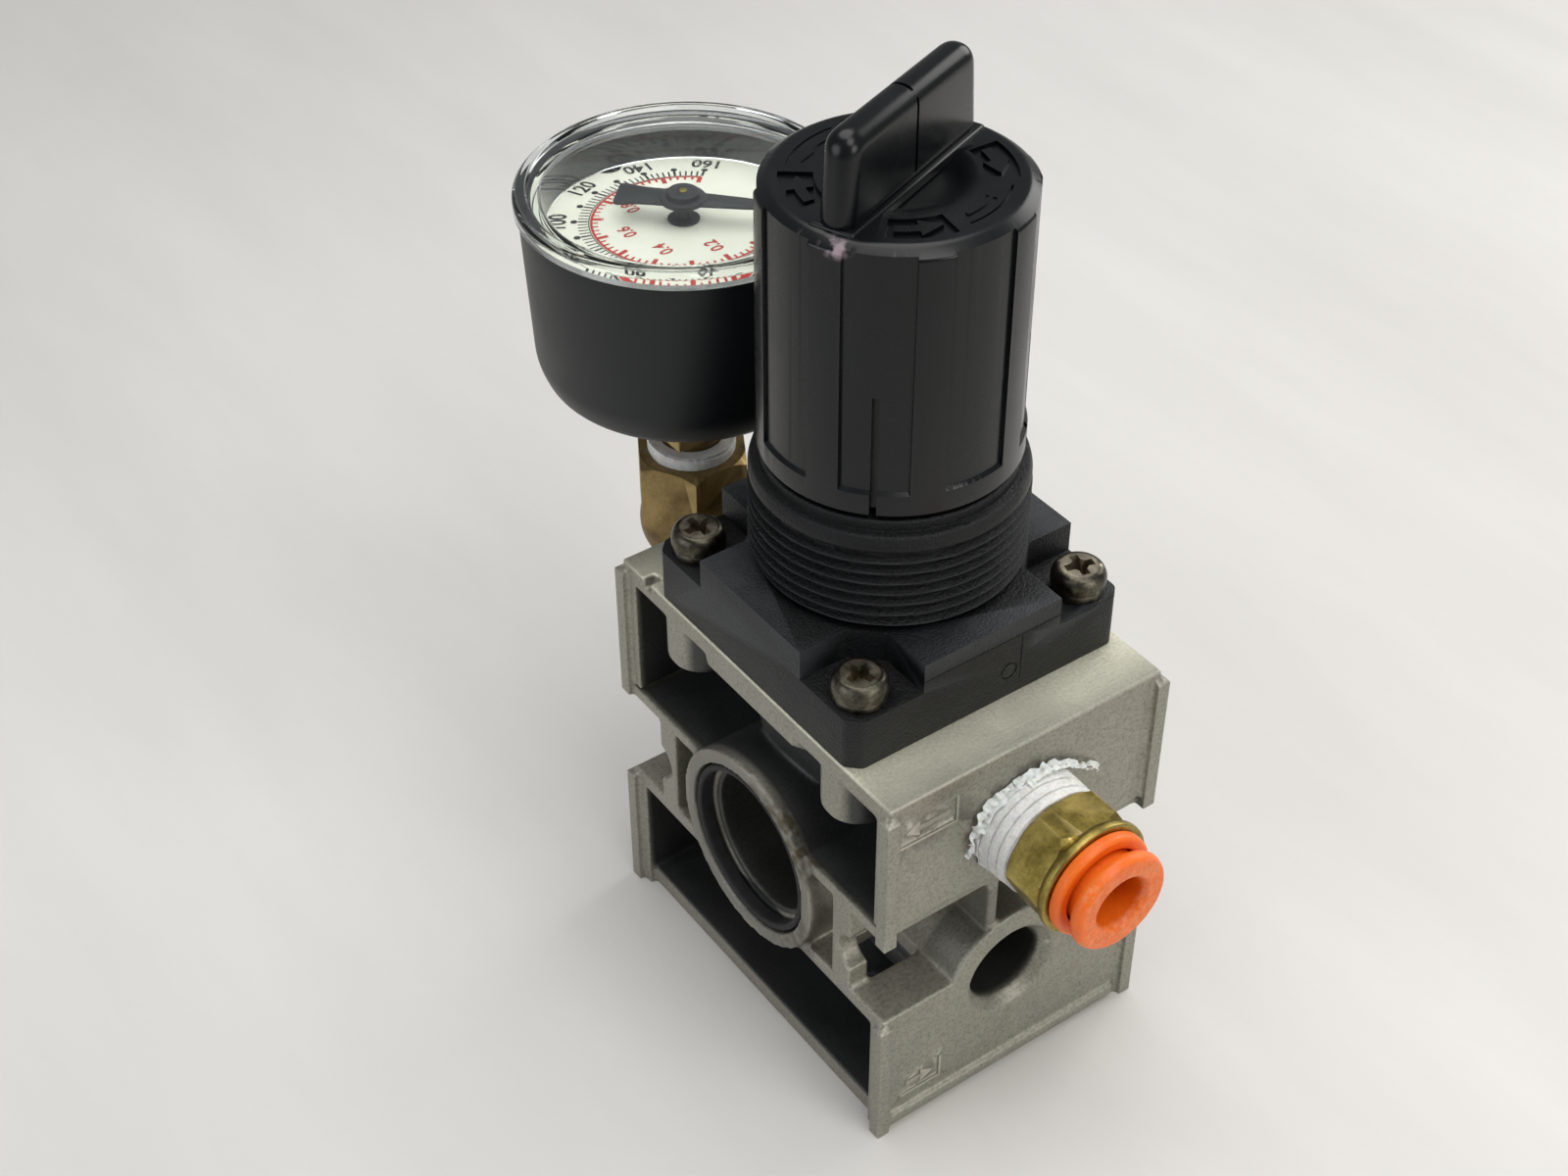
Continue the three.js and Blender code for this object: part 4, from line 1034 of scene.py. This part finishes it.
def makeDial():
    d, y, top = dialSizes, gaugeSizes["y"], gaugeSizes["dialTop"]
    edge = gaugeSizes["dial"]
    disc = softened([(1.2, 89.25), (edge, 89.25), (edge, top), (1.2, top)], 0.08)
    plate = makeObject("dial_plate", turned(disc, 160))
    combine(plate, [moved(rod(1.9, 89, 92, 48), placed(0, edge))], "DIFFERENCE")
    plate.data.transform(placed(0, y))
    dress(plate, "dialEnamel", "housing", "gauge_dial")
    black, red = bmesh.new(), bmesh.new()
    for psi in range(0, d["full"] + 1, 2):
        a = d["zero"] - psi * d["degreesPerPsi"]
        inkStroke(black, a, d["blackTicks"][0] + 0.1, d["blackTicks"][1], 0.34 if psi % 10 == 0 else 0.22)
        if psi % 10 == 0:
            inkDot(black, a, d["dotAt"], 0.46)
        if psi % 20 == 0:
            upright = a % 360 - 90
            if psi in (0, 20, 140, 160):
                upright += 180
            inkNumber(black, str(psi), a, d["numberAt"] + 0.35, d["numberHeight"], upright)
    sweep = d["full"] * d["degreesPerPsi"]
    inkArc(black, 12.18, 0.14, d["zero"] - sweep, d["zero"])
    inkArc(red, d["redRing"] - 0.14, 0.34, d["zero"] - sweep, d["zero"])
    for step in range(0, 111, 2):  # hundredths of a megapascal
        a = d["zero"] - step / 100 * d["psiPerMpa"] * d["degreesPerPsi"]
        major = step % 10 == 0
        start, wide = (d["redMajor"], 0.62) if major else (d["redMinor"], 0.3)
        inkStroke(red, a, start, d["redRing"] - 0.1, wide)
        if step and step % 20 == 0:
            inkNumber(red, "%.1f" % (step / 100), a, d["redNumberAt"] + 0.3, d["redNumberHeight"], 90)
    for name, bm, ink in (("dial_black_print", black, "blackInk"), ("dial_red_print", red, "redInk")):
        makePiece(name, moved(meshFrom(bm), placed(0, y)), ink, "housing", "gauge_dial", None)


def makePointer():
    y, top = gaugeSizes["y"], gaugeSizes["dialTop"]
    arm = [(-2.8, -8.5, 1.1), (2.8, -8.5, 1.1), (2.0, -5.6, 1.6), (1.9, -1, 1), (1.5, 4, 2), (1.2, 9, 2),
           (0.28, 13, 0), (-0.28, 13, 0), (-1.2, 9, 2), (-1.5, 4, 2), (-1.9, -1, 1), (-2.0, -5.6, 1.6)]
    blade = makeObject("blade", prism(softened(arm, 0, 5), 93.4, 93.75))
    bevelEdges(blade, 0.08, 2, 50)
    hub = turned(softened([(0, top + 0.1, 0), (2.1, top + 0.1, 0.1), (2.1, top + 0.45, 0.1),
                           (0.95, top + 0.5, 0), (0.95, 93.3, 0), (2.9, 93.35, 0.1), (2.9, 93.95, 0.12),
                           (2.1, 94, 0.1), (2.0, 94.8, 0.25), (0.6, 94.85, 0), (0, 94.75, 0)],
                          0, 4, False), 96)
    needle = moved(joined([takeMesh(blade), hub]), placed(0, y, 0, (dialSizes["zero"] - 450, "Z")))
    makePiece("gauge_needle", needle, "pointerPaint", "pointer", "gauge_pointer")
    pin = turned(softened([(0, 94.6, 0), (0.55, 94.6, 0), (0.55, 95.0, 0.15), (0, 95.05, 0)],
                          0, 4, False), 48)
    makePiece("needle_pin", moved(pin, placed(0, y)), "agedBrass", "pointer", "gauge_pointer")


makeDial()
makePointer()
print("stage: dial and pointer")

# push-in fitting; z is the distance out from the front face
fittingSizes = {
    "tapeEnd": 5.5, "hexEnd": 11.2, "shoulderEnd": 12.5, "guideEnd": 14.1, "neckEnd": 15.5,
    "buttonEnd": 17.3, "hole": 3.45, "hex": 14.0, "hexTurn": -2.0,
}
outOfFront = placed(0, -bodySizes["face"], bodySizes["outletZ"]) @ outOfPage


def makeFittingBody():
    f = fittingSizes
    hole, shoulder, low, high = f["hole"], f["shoulderEnd"], f["tapeEnd"], f["hexEnd"]
    outer = softened([(2.3, -11.6, 0), (6.2, -11.6, 0.4), (6.3, 5.7, 0), (6.8, 5.7, 0), (6.8, 10.9, 0),
                      (7.2, 10.95, 0.1), (7.7, 11.5, 0.3), (7.7, shoulder, 0.35), (6.2, shoulder, 0.2),
                      (6.2, 5.2, 0), (hole, 5.2, 0), (hole, 3, 0.2), (2.3, 3, 0.2)], 0, 4)
    fitting = makeObject("fitting_brass_body", turned(outer, 128))
    nut = makeObject("nut", flatsPrism(6, f["hex"], low, high, f["hexTurn"]))
    bevelEdges(nut, 0.12, 2, 40)
    cone = turned([(0, low), (7.05, low), (8.25, low + 1), (8.25, high - 1), (7.05, high), (0, high)], 240)
    combine(nut, [cone], "INTERSECT")
    combine(nut, [rod(6.5, 0, 20, 64)], "DIFFERENCE")
    combine(fitting, [takeMesh(nut)], "UNION")
    fitting.data.transform(outOfFront)
    dress(fitting, "agedBrass", "housing", "fitting_body", 30)


def tapeShape(inner, pitch, taper, crumpled, seed):
    # Overlapping wraps: a step at each turn of the helix, crumples from noise, most at the low end.
    def shape(angle, r, z):
        if r < inner + 0.03:
            return r, z
        phase = (z / pitch + angle / (2 * math.pi)) % 1.0
        lay = 0.26 * min(phase * 5, 1.0) - 0.3 * max(0.0, 1 - phase * 9)
        spot = Vector((math.cos(angle) * 5, math.sin(angle) * 5, z * 0.8 + seed))
        crumple = noise.fractal(spot * 1.1, 0.8, 2.1, 4) * (0.07 + crumpled * max(0.0, 1 - z / 1.6))
        return r + lay + crumple - taper * z, z
    return shape


def makeTapeBand(name, inner, outer, z0, z1, place, node, pitch, seed, taper=0.0, crumpled=0.0):
    steps = int((z1 - z0) / 0.07)
    climb = [(outer, z0 + (z1 - z0) * i / steps) for i in range(steps + 1)]
    shape = tapeShape(inner, pitch, taper, crumpled, seed)
    tape = moved(turned([(inner, z0)] + climb + [(inner, z1)], 200, shape), place)
    makePiece(name, tape, "sealTape", "housing", node, 60)


def tapeShred(bm, points, width, seed):  # a torn ribbon of tape through the points, in mm
    rows = []
    count = 40
    line = [Vector(p) for p in points]
    for i in range(count + 1):
        t = i / count * (len(line) - 1)
        k = min(int(t), len(line) - 2)
        before, after = line[max(k - 1, 0)], line[min(k + 2, len(line) - 1)]
        u = t - k
        a, b = line[k], line[k + 1]
        here = a * (1 - u) + b * u + ((a - before) - (after - b)) * (u * (1 - u)) * 0.25
        along = (b - a).normalized()
        turn = noise.noise(Vector((i * 0.16, seed, 0))) * 2.4
        side = Matrix.Rotation(turn, 3, along) @ along.cross(Vector((0, -0.5, 1))).normalized()
        ragged = 0.75 + 0.6 * noise.noise(Vector((i * 0.31, seed + 7, 1)))
        wide = width * ragged * (0.5 + 0.5 * min(1, 3 * (1 - i / count)))
        lift = side.cross(along) * noise.noise(Vector((i * 0.4, seed, 5))) * width * 0.6
        middle = here + lift * 0.8
        rows.append([middle - side * wide / 2, middle, middle + side * wide / 2])
    verts = [[bm.verts.new(p * mm) for p in row] for row in rows]
    for a, b in zip(verts, verts[1:]):
        for j in range(2):
            bm.faces.new((a[j], a[j + 1], b[j + 1], b[j]))


def makeTapeShreds():
    # loose ends of tape, caught along the top of the thread against the body
    bm = bmesh.new()
    paths = [
        ([(-8.6, -28.0, 45.2), (-7.8, -28.2, 48.2), (-6.0, -28.1, 50.6), (-3.4, -28.3, 51.9)], 1.5, 1.0),
        ([(-7.4, -28.6, 46.8), (-6.2, -28.4, 49.4), (-3.6, -28.6, 51.3), (0.2, -28.3, 52.1)], 1.3, 4.0),
        ([(-2.6, -28.2, 51.6), (0.4, -28.5, 52.3), (3.8, -28.2, 51.7), (6.4, -28.4, 50.0)], 1.6, 9.0),
        ([(1.6, -28.7, 52.0), (4.8, -28.4, 51.0), (7.4, -28.2, 49.2), (9.6, -28.3, 47.4)], 1.4, 13.0),
        ([(5.6, -28.1, 50.2), (8.0, -28.4, 49.0), (10.2, -28.0, 47.6), (10.6, -28.1, 46.2)], 1.3, 17.0),
        ([(-1.6, -29.4, 52.0), (1.4, -29.2, 52.5), (4.2, -29.3, 51.7)], 0.9, 23.0),
        ([(-8.9, -27.8, 43.2), (-8.4, -28.0, 44.2), (-8.2, -27.9, 45.2)], 1.0, 29.0),
    ]
    for points, width, seed in paths:
        tapeShred(bm, points, width, seed)
    shreds = makeObject("tape_shreds", meshFrom(bm))
    thick = shreds.modifiers.new("thickness", "SOLIDIFY")
    thick.thickness = 0.09 * mm
    thick.offset = 0
    soft = shreds.modifiers.new("soft", "SUBSURF")
    soft.levels = soft.render_levels = 1
    applyModifiers(shreds)
    dress(shreds, "sealTape", "housing", "fitting_tape", 70)


def makeFittingInside():
    seal = turned(softened([(3.5, 5.4), (6, 5.4), (6, 7.4), (3.5, 7.4)], 0.6, 4), 96)
    makePiece("tube_lip_seal", moved(seal, outOfFront), "dustyNitrile", "housing", "tube_seal")
    grab = makeObject("grab_teeth", turned([(3.4, 8.45), (5.9, 7.7), (5.9, 8.1), (3.4, 8.8)], 96))
    notches = [moved(box((3, 5), (-0.14, 0.14), (7, 10)), placed(0, 0, 0, (i * 30, "Z"))) for i in range(12)]
    combine(grab, notches, "DIFFERENCE")
    grab.data.transform(outOfFront)
    dress(grab, "springSteel", "housing", "grab_ring")
    low, end = fittingSizes["shoulderEnd"] + 0.05, fittingSizes["guideEnd"]
    guide = turned(softened([(5.35, 10.6, 0), (6, 10.6, 0), (6, low, 0), (7.0, low, 0.25), (7.0, end, 0.75),
                             (5.35, end, 0.5)], 0, 6), 144)
    makePiece("orange_guide_ring", moved(guide, outOfFront), "orangePolypropylene", "housing",
              "fitting_guide", 40)


def makeButton():
    f = fittingSizes
    profile = softened([(f["hole"], 10.6, 0.2), (5, 10.6, 0.2), (5, f["neckEnd"] - 0.05, 0.35),
                        (6.45, f["neckEnd"], 0.35), (6.72, 16.3, 0.5), (6.35, f["buttonEnd"], 0.6),
                        (4.0, f["buttonEnd"], 0.35), (f["hole"], 16.6, 0.4)], 0, 6)
    makePiece("tube_release_button", moved(turned(profile, 144), outOfFront), "orangePolypropylene",
              "release", "release_button", 40)


makeFittingBody()
makeTapeBand("fitting_thread_tape", 6.4, 7.3, 0.15, 5.4, outOfFront, "fitting_tape", 1.45, 3.0, 0.05, 0.3)
makeTapeShreds()
elbowPlace = placed(0, 0, bodySizes["portZ"]) @ alongY
makeTapeBand("elbow_thread_tape", 4.75, 5.5, 27.45, 29.1, elbowPlace, "elbow_tape", 0.8, 11.0)
makeTapeBand("gauge_thread_tape", 4.3, 5.6, 56.85, 58.8, placed(0, gaugeSizes["y"]), "gauge_tape", 2.4, 17.0)
makeFittingInside()
makeButton()
print("stage: fitting")

# the two springs, wound between the parts that press on them, each with a mesh of its own
springSizes = {
    "valve": {"middle": 2.25, "wire": 0.3, "low": 8.05, "high": 21.95, "turns": 7, "travel": 1.5,
              "joint": "valve_travel", "node": "valve_spring"},
    "adjusting": {"middle": 7.8, "wire": 1.1, "low": 58.25, "high": 89.95, "turns": 7.5, "travel": 8.25,
                  "joint": "nut_travel", "node": "adjusting_spring"},
}


def coil(d):  # round wire wound about Z
    bm = bmesh.new()
    steps, sides = round(d["turns"] * 28), 10
    rows = []
    for i in range(steps + 1):
        a = 2 * math.pi * d["turns"] * i / steps
        z = d["low"] + d["wire"] + (d["high"] - d["low"] - 2 * d["wire"]) * i / steps
        row = []
        for k in range(sides):
            b = 2 * math.pi * k / sides
            r = (d["middle"] + d["wire"] * math.cos(b)) * mm
            row.append(bm.verts.new((r * math.cos(a), r * math.sin(a), (z + d["wire"] * math.sin(b)) * mm)))
        rows.append(row)
    for low, high in zip(rows, rows[1:]):
        for k in range(sides):
            n = (k + 1) % sides
            bm.faces.new((low[k], low[n], high[n], high[k]))
    bm.faces.new(rows[0])
    bm.faces.new(rows[-1])
    bmesh.ops.recalc_face_normals(bm, faces=bm.faces)
    return meshFrom(bm)


def makeSprings():
    for name, d in springSizes.items():
        spring = makePiece(name + "_coil", coil(d), "springSteel", "housing", d["node"])
        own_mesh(spring)


def makeDiaphragm():  # the middle goes with the plate, the rim stays clamped under the bonnet
    middle = turned(softened([(2.4, 55.7), (9.3, 55.7), (10, 56.1), (10.9, 57.2), (10.4, 57.5), (9.5, 56.6),
                              (2.4, 56.6)], 0.1))
    rim = turned(softened([(11.0, 57.3), (11.4, 57.6), (12.6, 55.7), (16.6, 55.7), (16.6, 56.6), (13.1, 56.6),
                           (11.4, 58.5), (10.6, 57.7)], 0.1))
    makePiece("diaphragm_middle", middle, "dustyNitrile", "diaphragm_stack", "diaphragm")
    makePiece("diaphragm_rim", rim, "dustyNitrile", "housing", "diaphragm")


makeSprings()
makeDiaphragm()
print("stage: springs and diaphragm")

# inner pieces kept from the frame, each with its own finish
innerFinishes = {
    "dustyNitrile": ["plug_o_ring"],
    "springSteel": ["thrust_washer", "screw_clip", "knob_detent_ring", "pinion_arbor"],
    "agedBrass": ["diaphragm_retainer", "spring_nut", "adjusting_screw", "bourdon_tube", "movement_frame",
                  "sector_gear", "gauge_link"],
    "paleAcetal": ["diaphragm_plate"],
}
for finish, names in innerFinishes.items():
    for name in names:
        paint(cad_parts[name], finish)


def makeFloor():
    board = softened([(-700, -700), (700, -700), (700, 700), (-700, 700)], 40)
    floor = makeObject("table_top", prism(board, -6, 0))
    paint(floor, "tableBoard")


makeFloor()
print("stage: inner pieces and floor")
